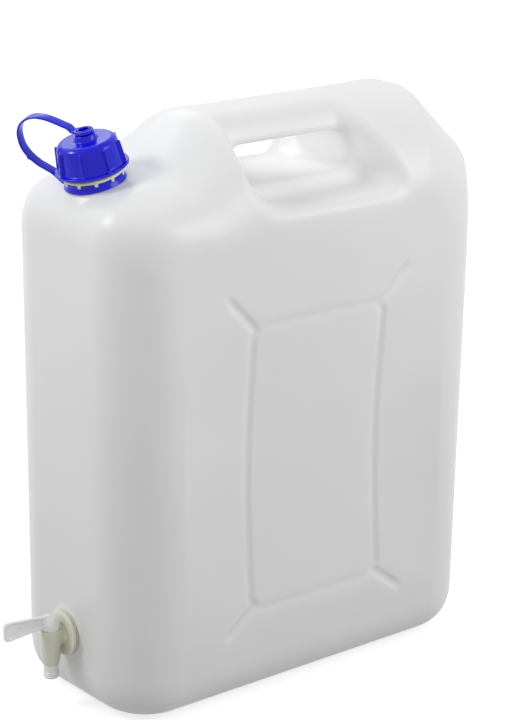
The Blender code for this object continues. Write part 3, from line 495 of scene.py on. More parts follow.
def edge_rounding(z, edges, roof):
    """How far the rounding of the edges reaches in the outline's plane, and in depth."""
    right, slope, crown, brow, shoulder, left = edges
    nearest = np.maximum.reduce([right, slope, crown, roof, left])
    over = np.exp((roof - nearest) / EDGE_BLEND)
    shoulder_share = 1.0 / (1.0 + np.exp((shoulder - brow) / EDGE_BLEND))
    up = np.clip(z / KNEE_HEIGHT, 0.0, 1.0)
    right_edge = RIGHT_EDGE_LOW + (RIGHT_EDGE_HIGH - RIGHT_EDGE_LOW) * up
    left_edge = LEFT_EDGE_LOW + (LEFT_EDGE_HIGH - LEFT_EDGE_LOW) * up
    shares = ((np.exp((right - nearest) / EDGE_BLEND), right_edge, right_edge),
              (np.exp((slope - nearest) / EDGE_BLEND), SLOPE_EDGE, SLOPE_EDGE),
              (np.exp((crown - nearest) / EDGE_BLEND), CROWN_EDGE, CROWN_EDGE),
              (over * (1.0 - shoulder_share), BROW_EDGE * BROW_FLATTENING, BROW_EDGE),
              (over * shoulder_share, SHOULDER_EDGE, SHOULDER_EDGE),
              (np.exp((left - nearest) / EDGE_BLEND), left_edge, left_edge))
    total = sum(weight for weight, flat, deep in shares)
    inset = sum(weight * flat for weight, flat, deep in shares) / total
    depth = sum(weight * deep for weight, flat, deep in shares) / total
    return inset, depth


def dish(x, z):
    """How far the broad faces sink in."""
    middle = (GROOVE_BOTTOM + GROOVE_TOP) / 2
    across = np.clip(1.0 - (x / DISH_HALF_LENGTH) ** DISH_SQUARENESS, 0.0, 1.0)
    along = np.clip(1.0 - ((z - middle) / DISH_HALF_HEIGHT) ** 2, 0.0, 1.0)
    return DISH_DEPTH * across * along ** DISH_SOFTNESS


def from_segment(x, z, start, goal):
    """Distance from a line segment, and the share along it of the nearest point."""
    along = (goal[0] - start[0], goal[1] - start[1])
    square = along[0] ** 2 + along[1] ** 2
    share = ((x - start[0]) * along[0] + (z - start[1]) * along[1]) / square
    held = np.clip(share, 0.0, 1.0)
    return np.hypot(x - start[0] - held * along[0], z - start[1] - held * along[1]), held


def grooves(x, z):
    """How deep the frame of grooves with its four arms sinks at a place."""
    middle = (GROOVE_BOTTOM + GROOVE_TOP) / 2
    half = (GROOVE_TOP - GROOVE_BOTTOM) / 2
    across = np.abs(x) - (GROOVE_HALF_WIDTH - GROOVE_CORNER)
    along = np.abs(z - middle) - (half - GROOVE_CORNER)
    frame_field = (np.hypot(np.maximum(across, 0.0), np.maximum(along, 0.0))
                   + np.minimum(np.maximum(across, along), 0.0) - GROOVE_CORNER)
    level = np.clip((along - across) / GROOVE_CORNER + 0.5, 0.0, 1.0)
    depth = groove_profile(np.abs(frame_field)) * (1.0 - (1.0 - LEVEL_GROOVE) * level)
    inward = GROOVE_CORNER * ARM_INSET
    for z_corner, rise in ((GROOVE_BOTTOM, -ARM_DROP), (GROOVE_TOP, ARM_RISE)):
        lean = inward if rise < 0 else -inward
        start = (GROOVE_HALF_WIDTH - inward, z_corner + lean)
        goal = (GROOVE_HALF_WIDTH + ARM_REACH, z_corner + rise)
        distance, share = from_segment(np.abs(x), z, start, goal)
        fade = np.clip((1.0 - share) / ARM_FADE, 0.0, 1.0)
        arm = groove_profile(distance) * fade * fade * (3.0 - 2.0 * fade)
        depth = smooth_max(depth, arm, GROOVE_DEPTH * ARM_FILLET)
    return depth


def groove_profile(distance):
    """Depth across a groove: a round valley with narrow shoulders."""
    share = np.clip(1.0 - (distance / GROOVE_REACH) ** 2, 0.0, 1.0)
    return GROOVE_DEPTH * share ** GROOVE_SHOULDER


def recess_field(x, y, z):
    """Field of the grip's two recesses with their leaning floors and drafted walls."""
    depth = np.abs(y)
    inward = DEPTH / 2 - depth
    left = RECESS_LEFT + inward * RECESS_DRAFT - x
    right = x - (RECESS_RIGHT - inward * RECESS_RIGHT_DRAFT)
    sill = RECESS_SILL - z
    slope = (SILL_HALF_WIDTH - BAR_HALF_WIDTH) / (HEIGHT - RECESS_SILL)
    floor = (BAR_HALF_WIDTH + (HEIGHT - z) * slope - depth) / hypot(1.0, slope)
    walls = smooth_max(left, sill, ROUND_WIDTH * RECESS_RADIUS)
    walls = smooth_max(walls, right, ROUND_WIDTH * RECESS_RIGHT_RADIUS)
    return smooth_max(walls, floor, RECESS_ROOT)


def hole_field(x, z):
    """Field of the grip hole."""
    sides = np.maximum(HOLE_LEFT - x, x - HOLE_RIGHT)
    ends = np.maximum(HOLE_SILL - z, z - HOLE_TOP)
    return smooth_max(sides, ends, ROUND_WIDTH * HOLE_RADIUS)


def boss_field(x, y, z):
    """Field of the low round boss that carries the tap."""
    side = np.hypot(y, z - TAP_HEIGHT) - BOSS_RADIUS
    boss = smooth_max(side, WALL_X - BOSS_PROUD - x, BOSS_EDGE)
    return np.maximum(boss, x - WALL_X - BOSS_DEPTH)


def container_field(x, y, z):
    """Field of the container without its neck."""
    outline, edges, roof = outline_fields(x, z)
    inset, reach = edge_rounding(z, edges, roof)
    sunk = np.abs(y) + dish(x, z) + grooves(x, z)
    u = np.clip(1.0 + outline / inset, 0.0, None)
    v = np.clip((sunk - (DEPTH / 2 - reach)) / reach, 0.0, None)
    radius = np.maximum(np.sqrt(u * u + v * v), TINY)
    slope = np.sqrt((u / inset) ** 2 + (v / reach) ** 2) / radius
    field = (radius - 1.0) / np.maximum(slope, TINY)
    field = smooth_max(field, -z, ROUND_WIDTH * BASE_RADIUS)
    share = np.clip((x - RECESS_LEFT) / LEFT_RIM_REACH, 0.0, 1.0)
    rim = LEFT_RIM + (WIDE_RIM - LEFT_RIM) * share
    field = smooth_max(field, -recess_field(x, y, z), rim)
    field = smooth_max(field, -hole_field(x, z), HOLE_EDGE)
    field = smooth_min(field, boss_field(x, y, z), BOSS_FILLET)
    return smooth_min(field, neck_seat(x, y, z), NECK_SEAT_FILLET)


def neck_seat(x, y, z):
    """Field of the raised seat that carries the neck, square to its leaning axis."""
    out = (x - NECK_FOOT.x) * cos(NECK_LEAN) + (z - NECK_FOOT.z) * sin(NECK_LEAN)
    up = (z - NECK_FOOT.z) * cos(NECK_LEAN) - (x - NECK_FOOT.x) * sin(NECK_LEAN)
    side = np.hypot(out, y) - NECK_SEAT_RADIUS + NECK_SEAT_FLARE * up
    top = np.maximum(up + NECK_SEAT_DROP, -NECK_SEAT_DEPTH - up)
    return smooth_max(side / hypot(1.0, NECK_SEAT_FLARE), top, NECK_SEAT_EDGE)


def make_container():
    """The container's skin and its neck, a finer piece of the same moulding."""
    margin = BAND_STEPS * BODY_STEP
    half = int(DEPTH / 2 / BODY_STEP) + BAND_STEPS
    low = (WALL_X - BOSS_PROUD - margin, -half * BODY_STEP, -margin)
    high = (LENGTH / 2 + margin, 0.0, HEIGHT + margin)
    x, y, z = samples(low, high, BODY_STEP)
    front = container_field(x, y[:, :half + 1], z).astype(np.float32)
    whole = np.concatenate((front, front[:, -2::-1]), axis=1)
    return skin("container_skin", whole, low, BODY_STEP), make_neck()


def make_neck():
    """The neck with its bead, teeth and thread, on its own leaning axis."""
    radius = BEAD_RADIUS + 2 * MARGIN
    low = (-radius, -radius, -NECK_CUT)
    high = (radius, radius, NECK_HEIGHT + 2 * MARGIN)
    x, y, z = samples(low, high, SMALL_STEP)
    around = np.hypot(x, y)
    turn = np.arctan2(y, x)
    field = tube_field(x, y, z, NECK_OUTSIDE, -NECK_BELOW, NECK_HEIGHT, NECK_RIM_EDGE)
    foot = tube_field(x, y, z, NECK_FOOT_RADIUS, -NECK_BELOW, BEAD_LOW, NECK_FOOT_EDGE)
    field = smooth_min(field, foot, NECK_FILLET)
    bead = tube_field(x, y, z, BEAD_RADIUS, BEAD_LOW, BEAD_HIGH, BEAD_EDGE)
    field = smooth_min(field, bead, NECK_FILLET)
    field = smooth_min(field, tooth_field(around, turn, z), TOOTH_FILLET)
    field = smooth_min(field, thread_field(around, turn, z), THREAD_FILLET)
    bore = smooth_max(around - NECK_BORE, -BORE_START - z, BORE_START_EDGE)
    field = smooth_max(field, -bore, BORE_RIM_EDGE)
    return skin("container_neck", field, low, SMALL_STEP, NECK_FRAME)


def tooth_field(around, turn, z):
    """Field of the small teeth that hang from the neck's bead."""
    offset = from_nearest(turn, TOOTH_COUNT, TOOTH_PHASE) * BEAD_RADIUS
    half = TOOTH_THICKNESS / 2
    wall = np.abs(around - BEAD_RADIUS + half) - half
    tooth = smooth_max(offset - TOOTH_HALF_WIDTH, wall, TOOTH_EDGE)
    ends = np.maximum(BEAD_LOW - TOOTH_DROP - z, z - BEAD_HIGH)
    return smooth_max(tooth, ends, TOOTH_END_EDGE)


def thread_field(around, turn, z):
    """Field of the rounded screw thread wound round the neck."""
    climb = THREAD_PITCH * turn / (2 * pi)
    phase = (z - THREAD_LOW - climb) % THREAD_PITCH - THREAD_PITCH / 2
    crest = np.hypot(phase, (around - NECK_OUTSIDE) * THREAD_STEEPNESS) - THREAD_PROUD
    return smooth_max(crest, np.maximum(THREAD_LOW - z, z - THREAD_HIGH), THREAD_END_EDGE)


# Cap

def skirt_radius(z):
    """Outside radius of the cap's tapering skirt."""
    share = (z - CAP_BASE) / CAP_HEIGHT
    return CAP_SKIRT_RADIUS + (CAP_TOP_RADIUS - CAP_SKIRT_RADIUS) * share


def make_cap():
    """The ribbed screw cap with its peg."""
    peg_top = PEG_SEAT + EYE_THICKNESS + GAP
    radius = CAP_FLANGE_RADIUS + MARGIN
    low = (-radius, -radius, CAP_BASE - MARGIN)
    high = (radius, radius, peg_top + MARGIN)
    x, y, z = samples(low, high, SMALL_STEP)
    around = np.hypot(x, y)
    outside = skirt_radius(z)
    field = smooth_max(around - outside, np.maximum(CAP_BASE - z, z - CAP_TOP), CAP_EDGE)
    bevel = (around - outside + z - CAP_TOP + CAP_BEVEL) / 2 ** 0.5
    field = smooth_max(field, bevel, CAP_BEVEL_EDGE)
    flange = tube_field(x, y, z, CAP_FLANGE_RADIUS, CAP_BASE, CAP_BASE + CAP_FLANGE_THICKNESS,
                        CAP_EDGE)
    field = smooth_min(field, flange, CAP_FLANGE_FILLET)
    field = smooth_min(field, rib_field(around, np.arctan2(y, x), z, outside), RIB_FILLET)
    up = (z - CAP_TOP) / PEG_SEAT_HEIGHT
    cone = PEG_FOOT_RADIUS + (PEG_SEAT_RADIUS - PEG_FOOT_RADIUS) * up
    foot = smooth_max(around - cone, np.maximum(CAP_TOP - OVERLAP - z, z - PEG_SEAT), CAP_EDGE)
    field = smooth_min(field, foot, PEG_FOOT_FILLET)
    peg = tube_field(x, y, z, PEG_RADIUS, PEG_SEAT - OVERLAP, peg_top, PEG_EDGE)
    field = np.minimum(field, peg)
    bore = np.maximum(around - PEG_BORE, peg_top - PEG_BORE_DEPTH - z)
    field = smooth_max(field, -bore, PEG_EDGE)
    inside = smooth_max(around - outside + CAP_WALL, z - CAP_ROOF, CAP_ROOF_FILLET)
    field = np.maximum(field, -inside)
    return skin("cap_skin", field, low, SMALL_STEP, NECK_FRAME)


def rib_field(around, turn, z, outside):
    """Field of the cap's ribs, which end round below its top."""
    offset = from_nearest(turn, RIB_COUNT, RIB_PHASE) * around
    crown = CAP_TOP - RIB_TOP_GAP - RIB_HALF_WIDTH
    over = np.hypot(offset, np.maximum(z - crown, 0.0)) - RIB_HALF_WIDTH
    rib = smooth_max(over, around - outside - RIB_PROUD, RIB_EDGE)
    return np.maximum(np.maximum(rib, outside - OVERLAP - around), CAP_BASE - z)


# Tether

def make_collar():
    """The tether's ring round the foot of the neck: a cone under a straight sleeve."""
    radius = COLLAR_RADIUS + MARGIN
    low = (-radius, -radius, -NEAR_MARGIN)
    high = (radius, radius, COLLAR_HEIGHT + MARGIN)
    x, y, z = samples(low, high, SMALL_STEP)
    around = np.hypot(x, y)
    slope = (COLLAR_RADIUS - COLLAR_SLEEVE) / (COLLAR_CONE - GAP)
    outside = np.maximum(COLLAR_RADIUS - (z - GAP) * slope, COLLAR_SLEEVE)
    ends = np.maximum(GAP - z, z - COLLAR_HEIGHT)
    field = smooth_max(around - outside, ends, COLLAR_EDGE)
    field = np.maximum(field, COLLAR_BORE - around)
    return skin("tether_collar_skin", field, low, SMALL_STEP, NECK_FRAME)


def make_eye():
    """The tether's ring on the cap's peg, with the lug that the strap meets."""
    floor = PEG_SEAT + GAP
    roof = PEG_SEAT + EYE_THICKNESS
    radius = EYE_LUG_REACH + 2 * MARGIN
    low = (-radius, -radius, floor - NEAR_MARGIN)
    high = (radius, radius, roof + MARGIN)
    x, y, z = samples(low, high, EYE_STEP)
    field = tube_field(x, y, z, EYE_RADIUS, floor, roof, EYE_EDGE)
    heading = pi - STRAP_HEADING
    out = x * cos(heading) + y * sin(heading)
    side = np.abs(y * cos(heading) - x * sin(heading)) - STRAP_WIDTH / 2
    lug = smooth_max(side, np.maximum(-out, out - EYE_LUG_REACH), EYE_LUG_EDGE)
    middle = (floor + roof) / 2 + STRAP_END_RISE
    lug = smooth_max(lug, np.abs(z - middle) - STRAP_THICKNESS / 2, EYE_LUG_FILLET)
    field = smooth_min(field, lug, EYE_LUG_FILLET)
    field = smooth_max(field, PEG_RADIUS + GAP - np.hypot(x, y), EYE_BORE_EDGE)
    return skin("tether_eye_skin", field, low, EYE_STEP, NECK_FRAME)


def smooth_line(guide, parts):
    """A Catmull-Rom curve through guide points."""
    points = [Vector(point) for point in guide]
    line = []
    last = len(points) - 1
    for k in range(last):
        before = points[max(k - 1, 0)]
        here = points[k]
        after = points[k + 1]
        beyond = points[min(k + 2, last)]
        for i in range(parts):
            t = i / parts
            line.append(0.5 * (2 * here + (after - before) * t
                               + (2 * before - 5 * here + 4 * after - beyond) * t * t
                               + (3 * here - before - 3 * after + beyond) * t ** 3))
    line.append(points[last])
    return line


def strap_section():
    """Points round the strap's section, whose narrow sides are half round."""
    rim = STRAP_THICKNESS / 2
    centre = STRAP_WIDTH / 2 - rim
    section = []
    for middle, first in ((centre, -pi / 2), (-centre, pi / 2)):
        for k in range(STRAP_RIM_PARTS + 1):
            turn = first + pi * k / STRAP_RIM_PARTS
            section.append((middle + rim * cos(turn), rim * sin(turn)))
    return section


def make_strap():
    """The flat strap with its stiffening bar, from the collar's round side to the eye's lug."""
    eye_height = PEG_SEAT + EYE_THICKNESS / 2 + STRAP_END_RISE
    start = (COLLAR_RADIUS + GAP, STRAP_FOOT_HEIGHT)
    goal = (EYE_LUG_REACH + GAP / 2, eye_height)
    guide = [(out * STRAP_REACH, up * STRAP_REACH) for out, up in STRAP_GUIDE]
    line = smooth_line([start] + guide + [goal], STRAP_PARTS)
    section = strap_section()
    rings = []
    for k, point in enumerate(line):
        before = line[max(k - 1, 0)]
        after = line[min(k + 1, len(line) - 1)]
        along = (after - before).normalized()
        across = Vector((-along.y, along.x))
        off_bar = (point - STRAP_BAR).length / STRAP_BAR_HALF_WIDTH
        bar = STRAP_BAR_PROUD * max(0.0, 1.0 - off_bar ** STRAP_BAR_SQUARENESS)
        ring = []
        for sideways, thick in section:
            raised = bar if thick < 0.0 else 0.0
            spot = point + across * (thick - raised)
            lean = 0.0
            if k == 0:
                lean = point.x - (point.x ** 2 - sideways ** 2) ** 0.5
            ring.append((spot.x - lean, sideways, spot.y))
        rings.append(ring)
    strap = loft("tether_strap_skin", rings)
    strap.data.transform(NECK_FRAME @ Matrix.Rotation(pi - STRAP_HEADING, 4, "Z"))
    return strap


def loft(name, rings):
    """A closed mesh through rings of equally many points."""
    count = len(rings[0])
    points = [point for ring in rings for point in ring]
    faces = []
    for level in range(len(rings) - 1):
        low = level * count
        for k in range(count):
            after = (k + 1) % count
            faces.append((low + k, low + after, low + count + after, low + count + k))
    faces.append(tuple(range(count))[::-1])
    faces.append(tuple(range((len(rings) - 1) * count, len(rings) * count)))
    mesh = bpy.data.meshes.new(name)
    mesh.from_pydata(points, [], faces)
    mesh.validate()
    mesh.shade_smooth()
    mesh.set_sharp_from_angle(angle=SHARP_ANGLE)
    item = bpy.data.objects.new(name, mesh)
    bpy.context.scene.collection.objects.link(item)
    return item


# Tap

def cone_radius(z, bottom, top):
    """Radius of a tapering piece that stands in the barrel's height."""
    return bottom + (top - bottom) * (z - BARREL_BOTTOM) / (BARREL_TOP - BARREL_BOTTOM)


def make_barrel():
    """The tap's housing with its stub and flange, filleted where they meet."""
    flange_face = WALL_X - BOSS_PROUD - GASKET_THICKNESS - 2 * GAP
    flange_back = flange_face - FLANGE_THICKNESS
    reach = FLANGE_RADIUS + MARGIN
    low = (TAP_X - BARREL_TOP_RADIUS - MARGIN, -reach, BARREL_BOTTOM - MARGIN)
    high = (WALL_X + MARGIN / 2, reach, TAP_HEIGHT + reach)
    x, y, z = samples(low, high, SMALL_STEP)
    around = np.hypot(x - TAP_X, y)
    across = np.hypot(y, z - TAP_HEIGHT)
    outside = cone_radius(z, BARREL_BOTTOM_RADIUS, BARREL_TOP_RADIUS)
    field = smooth_max(around - outside, z - BARREL_TOP, BARREL_EDGE)
    slope = (BARREL_BOTTOM_RADIUS - BARREL_FOOT_RADIUS) / BARREL_CHAMFER
    foot = BARREL_FOOT_RADIUS + (z - BARREL_BOTTOM) * slope
    field = smooth_max(field, around - foot, BARREL_EDGE)
    field = np.maximum(field, BARREL_BOTTOM - z)
    stub = np.maximum(across - STUB_RADIUS * STUB_TAPER, TAP_X - x)
    stub = np.maximum(stub, x - flange_back - OVERLAP)
    field = smooth_min(field, stub, STUB_FILLET)
    faces = np.maximum(flange_back - x, x - flange_face)
    flange = smooth_max(across - FLANGE_RADIUS, faces, FLANGE_EDGE)
    field = smooth_min(field, flange, FLANGE_FILLET)
    thread = np.maximum(across - STUB_RADIUS, flange_face - OVERLAP - x)
    field = np.minimum(field, thread)
    inner = cone_radius(z, PLUG_BOTTOM_RADIUS, PLUG_TOP_RADIUS) + GAP
    field = smooth_max(field, inner - around, BARREL_BORE_EDGE)
    field = np.maximum(field, -np.maximum(across - STUB_BORE, TAP_X - x))
    field = np.maximum(field, x - WALL_X)
    return skin("tap_barrel_skin", field, low, SMALL_STEP)


def lever_corners():
    """Side outline of the lever paddle, counter-clockwise seen from the front."""
    root = TAP_X - HUB_RADIUS * LEVER_ROOT
    tip = TAP_X - LEVER_REACH
    return [(tip, LEVER_BOTTOM), (root, LEVER_BOTTOM + LEVER_ROOT_RISE),
            (root, LEVER_BOTTOM + LEVER_ROOT_HEIGHT),
            (tip, LEVER_BOTTOM + LEVER_TIP_HEIGHT)]


def lever_field(x, y, z, around):
    """Field of the lever, with a sunk panel on its front and a pinhole through it."""
    radii = (LEVER_ROOT_CORNER, LEVER_ROOT_CORNER, LEVER_CORNER)
    paddle = polygon_field(x, z, lever_corners(), radii)
    plate = smooth_max(paddle, np.abs(y) - LEVER_THICKNESS / 2, LEVER_EDGE)
    sunk = LEVER_THICKNESS / 2 + y
    panel = smooth_max(paddle + PANEL_RIM + sunk, sunk - PANEL_DEPTH, PANEL_FLOOR_FILLET)
    panel = smooth_max(panel, HUB_RADIUS + PANEL_GAP - around, PANEL_END_FILLET)
    plate = smooth_max(plate, -panel, PANEL_EDGE)
    pin_z = LEVER_BOTTOM + LEVER_TIP_HEIGHT / 2
    pin = np.hypot(x - TAP_X + LEVER_REACH - LEVER_HOLE_INSET, z - pin_z) - LEVER_HOLE
    return smooth_max(plate, -pin, LEVER_HOLE_EDGE)


def spout_field(z, around):
    """Field of the spout, with ridges round its lower part."""
    ridge = SPOUT_RIDGE_PROUD * np.cos((z - SPOUT_BOTTOM) * 2 * pi / SPOUT_RIDGE)
    ridge = np.where((z > RIDGES_LOW) & (z < RIDGES_HIGH), ridge, 0.0)
    ends = np.maximum(SPOUT_BOTTOM - z, z - BARREL_BOTTOM + GAP)
    return smooth_max(around - SPOUT_RADIUS + SPOUT_RIDGE_PROUD - ridge, ends, SPOUT_EDGE)


def make_plug():
    """The turning piece: domed hub, lever, plug and ridged spout."""
    reach = HUB_RADIUS + MARGIN
    lever_top = LEVER_BOTTOM + LEVER_TIP_HEIGHT
    low = (TAP_X - LEVER_REACH - MARGIN, -reach, SPOUT_BOTTOM - MARGIN)
    high = (TAP_X + reach, reach, lever_top + MARGIN)
    x, y, z = samples(low, high, PLUG_STEP)
    around = np.hypot(x - TAP_X, y)
    flatten = HUB_RADIUS / (HUB_TOP - HUB_WAIST)
    dome = np.hypot(around, np.maximum(z - HUB_WAIST, 0.0) * flatten)
    hub = smooth_max(dome - HUB_RADIUS, HUB_BASE - z, HUB_EDGE)
    field = smooth_min(hub, lever_field(x, y, z, around), LEVER_FILLET)
    inner = cone_radius(z, PLUG_BOTTOM_RADIUS, PLUG_TOP_RADIUS)
    ends = np.maximum(BARREL_BOTTOM - GAP - z, z - HUB_BASE - OVERLAP)
    field = np.minimum(field, np.maximum(around - inner, ends))
    field = np.minimum(field, spout_field(z, around))
    bore = np.maximum(around - SPOUT_BORE, z - TAP_HEIGHT - SPOUT_BORE)
    window = np.maximum(np.hypot(x - TAP_X, z - TAP_HEIGHT) - SPOUT_BORE, y)
    field = smooth_max(field, -np.minimum(bore, window), SPOUT_BORE_EDGE)
    return skin("tap_plug_skin", field, low, PLUG_STEP)


# Materials

def remap(tree, value, low, high):
    """A node that turns a value from 0 to 1 into one from low to high."""
    node = tree.nodes.new("ShaderNodeMapRange")
    node.inputs["To Min"].default_value = low
    node.inputs["To Max"].default_value = high
    tree.links.new(value, node.inputs["Value"])
    return node


def noise(tree, place, scale, detail):
    """The value of a noise in the object's own coordinates."""
    node = tree.nodes.new("ShaderNodeTexNoise")
    node.inputs["Scale"].default_value = scale
    node.inputs["Detail"].default_value = detail
    tree.links.new(place.outputs["Object"], node.inputs["Vector"])
    return node.outputs["Fac"]


def multiplier(tree, shade):
    """A node that multiplies its first colour by a shade."""
    node = tree.nodes.new("ShaderNodeMix")
    node.data_type = "RGBA"
    node.blend_type = "MULTIPLY"
    node.inputs["Factor"].default_value = 1.0
    tree.links.new(shade.outputs["Result"], node.inputs["B"])
    return node


def material(name, colour, roughness, subsurface=0.0, radius=0.01, specular=0.5):
    """A moulded material: faint cloudy variation of colour and gloss, and a fine surface."""
    made = bpy.data.materials.new(name)
    made.use_nodes = True
    tree = made.node_tree
    links = tree.links
    shader = tree.nodes["Principled BSDF"]
    shader.inputs["Subsurface Weight"].default_value = subsurface
    shader.inputs["Subsurface Radius"].default_value = (radius, radius, radius)
    shader.inputs["Subsurface Scale"].default_value = 1.0
    shader.inputs["Specular IOR Level"].default_value = specular
    place = tree.nodes.new("ShaderNodeTexCoord")
    cloud = noise(tree, place, **CLOUD)
    tint = multiplier(tree, remap(tree, cloud, *CLOUD_SHADES))
    tint.inputs["A"].default_value = (*colour, 1.0)
    links.new(tint.outputs["Result"], shader.inputs["Base Color"])
    gloss = remap(tree, cloud, roughness + CLOUD_GLOSS[0], roughness + CLOUD_GLOSS[1])
    links.new(gloss.outputs["Result"], shader.inputs["Roughness"])
    bump = tree.nodes.new("ShaderNodeBump")
    bump.inputs["Strength"].default_value = GRAIN_STRENGTH
    bump.inputs["Distance"].default_value = GRAIN_DEPTH
    links.new(noise(tree, place, **GRAIN), bump.inputs["Height"])
    links.new(bump.outputs["Normal"], shader.inputs["Normal"])
    return made


def add_painted_height_shade(made):
    """Painted shade: the wall's colour gets a little darker towards the base, where less light
    falls.
    """
    tree = made.node_tree
    links = tree.links
    shader = tree.nodes["Principled BSDF"]
    place = tree.nodes.new("ShaderNodeTexCoord")
    apart = tree.nodes.new("ShaderNodeSeparateXYZ")
    links.new(place.outputs["Object"], apart.inputs["Vector"])
    share = remap(tree, apart.outputs["Z"], PAINTED_BASE_SHADE, 1.0)
    share.inputs["From Max"].default_value = HEIGHT
    tint = multiplier(tree, share)
    links.new(shader.inputs["Base Color"].links[0].from_socket, tint.inputs["A"])
    links.new(tint.outputs["Result"], shader.inputs["Base Color"])


def add_painted_hole_glow(made):
    """Painted light: an emission in the grip hole that stands in for the light its translucent walls
    hand on to each other.
    """
    tree = made.node_tree
    links = tree.links
    shader = tree.nodes["Principled BSDF"]
    place = tree.nodes.new("ShaderNodeTexCoord")
    local = tree.nodes.new("ShaderNodeMapping")
    local.vector_type = "TEXTURE"
    local.inputs["Location"].default_value = PAINTED_HOLE_GLOW_CENTRE
    local.inputs["Scale"].default_value = PAINTED_HOLE_GLOW_REACH
    links.new(place.outputs["Object"], local.inputs["Vector"])
    length = tree.nodes.new("ShaderNodeVectorMath")
    length.operation = "LENGTH"
    links.new(local.outputs["Vector"], length.inputs[0])
    # Painted light: emission strength that brightens the grip hole, fading with distance from its
    # centre
    glow = remap(tree, length.outputs["Value"], PAINTED_HOLE_GLOW, 0.0)
    glow.interpolation_type = "SMOOTHSTEP"
    glow.inputs["From Min"].default_value = PAINTED_HOLE_GLOW_CORE
    shader.inputs["Emission Color"].default_value = WHITE
    links.new(glow.outputs["Result"], shader.inputs["Emission Strength"])


def dress(item, made, slot_name, body, *nodes):
    """Give a piece its material, its body and the nodes that it stands for."""
    item.data.materials.clear()
    item.data.materials.append(made)
    if body is not None:
        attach(item, body)
    if nodes:
        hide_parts(*nodes)


# Studio

def make_camera():
    """The camera at the photograph's place."""
    data = bpy.data.cameras.new("camera")
    data.sensor_fit = "AUTO"
    data.sensor_width = SENSOR
    data.lens = FOCAL_PIXELS / PHOTO_HEIGHT * SENSOR
    data.shift_x = (PHOTO_WIDTH / 2 - CENTRE_PIXEL[0]) / PHOTO_HEIGHT
    data.shift_y = (CENTRE_PIXEL[1] - PHOTO_HEIGHT / 2) / PHOTO_HEIGHT
    data.clip_start = CLIP_NEAR
    data.clip_end = CLIP_FAR
    camera = bpy.data.objects.new("camera", data)
    bpy.context.scene.collection.objects.link(camera)
    azimuth = radians(CAMERA_AZIMUTH)
    elevation = radians(CAMERA_ELEVATION)
    back = Vector((sin(azimuth) * cos(elevation), -cos(azimuth) * cos(elevation),
                   sin(elevation)))
    turn = (-back).to_track_quat("-Z", "Y").to_matrix()
    camera.matrix_world = (Matrix.Translation(CAMERA_PLACE) @ turn.to_4x4()
                           @ Matrix.Rotation(radians(CAMERA_ROLL), 4, "Z"))
    bpy.context.scene.camera = camera


def make_lamp(name, place, aim, size, power):
    """A soft rectangular lamp that faces a point."""
    data = bpy.data.lights.new(name, "AREA")
    data.shape = "RECTANGLE"
    data.size, data.size_y = size
    data.energy = power
    lamp = bpy.data.objects.new(name, data)
    bpy.context.scene.collection.objects.link(lamp)
    lamp.location = place
    lamp.rotation_mode = "QUATERNION"
    lamp.rotation_quaternion = (Vector(aim) - Vector(place)).to_track_quat("-Z", "Y")


def seen_share(tree):
    """1 for the rays that show the background: camera, glossy and transmission rays."""
    path = tree.nodes.new("ShaderNodeLightPath")
    share = path.outputs["Is Camera Ray"]
    for kind in ("Is Glossy Ray", "Is Transmission Ray"):
        larger = tree.nodes.new("ShaderNodeMath")
        larger.operation = "MAXIMUM"
        tree.links.new(share, larger.inputs[0])
        tree.links.new(path.outputs[kind], larger.inputs[1])
        share = larger.outputs[0]
    return share


def make_world():
    """A white background over a dimmer even light."""
    world = bpy.data.worlds.new("studio")
    bpy.context.scene.world = world
    world.use_nodes = True
    tree = world.node_tree
    background = tree.nodes["Background"]
    background.inputs["Color"].default_value = WHITE
    strength = remap(tree, seen_share(tree), AMBIENT, 1.0)
    tree.links.new(strength.outputs["Result"], background.inputs["Strength"])


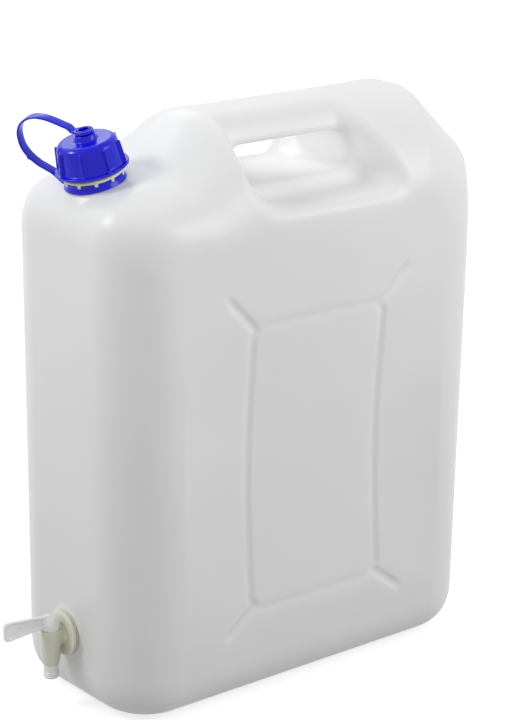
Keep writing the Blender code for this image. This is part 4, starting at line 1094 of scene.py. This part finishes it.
def make_floor():
    """A pale floor that keeps the object's shadow and runs out into white."""
    mesh = bpy.data.meshes.new("floor")
    corners = [(across * FLOOR_REACH, along * FLOOR_REACH, 0.0)
               for across, along in ((-1, -1), (1, -1), (1, 1), (-1, 1))]
    mesh.from_pydata(corners, [], [(0, 1, 2, 3)])
    floor = bpy.data.objects.new("floor", mesh)
    bpy.context.scene.collection.objects.link(floor)
    made = bpy.data.materials.new("floor_white")
    made.use_nodes = True
    tree = made.node_tree
    shader = tree.nodes["Principled BSDF"]
    shader.inputs["Base Color"].default_value = (FLOOR_COLOUR, FLOOR_COLOUR, FLOOR_COLOUR, 1.0)
    shader.inputs["Roughness"].default_value = FLOOR_ROUGHNESS
    shader.inputs["Emission Color"].default_value = WHITE
    glow = tree.nodes.new("ShaderNodeMath")
    glow.operation = "MULTIPLY"
    glow.inputs[1].default_value = FLOOR_GLOW
    tree.links.new(seen_share(tree), glow.inputs[0])
    tree.links.new(glow.outputs[0], shader.inputs["Emission Strength"])
    mesh.materials.append(made)


# Building

materials = {name: material(name, **values) for name, values in MATERIALS.items()}
milky = materials["milky_polyethylene"]
blue = materials["blue_polypropylene"]
ivory = materials["ivory_polyethylene"]
rubber = materials["grey_rubber"]
# Painted shade: the wall's colour darkens towards the base
add_painted_height_shade(milky)
# Painted light: an emission makes the grip hole glow
add_painted_hole_glow(milky)

container, neck = make_container()
dress(container, milky, "natural_polyethylene", "container", "canister_body")
dress(neck, materials["neck_polyethylene"], "natural_polyethylene", "container", "canister_body")
dress(make_cap(), blue, "blue_polypropylene", "cap", "screw_cap")
dress(make_collar(), blue, "blue_polypropylene", "tether", "tether_collar")
dress(make_eye(), blue, "blue_polypropylene", "eye", "tether_eye")
strap = make_strap()
dress(strap, blue, "blue_polypropylene", None, "tether_strap")
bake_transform(strap)
dress(make_barrel(), ivory, "ivory_polyethylene", "container", "tap_barrel")
dress(make_plug(), materials["white_acetal"], "white_acetal", "tap", "tap_plug")
for name, made in (("cap_seal", materials["seal_foam"]), ("tap_gasket", rubber),
                   ("tap_nut", ivory), ("tap_o_ring_upper", rubber),
                   ("tap_o_ring_lower", rubber)):
    node = frame["nodes"][name]
    node.data.materials.clear()
    node.data.materials.append(made)

make_floor()
make_world()
make_lamp("lamp_left", **LEFT_LAMP)
make_lamp("lamp_front", **FRONT_LAMP)
make_lamp("lamp_back", **BACK_LAMP)
make_camera()
bpy.context.scene.view_settings.view_transform = "Standard"
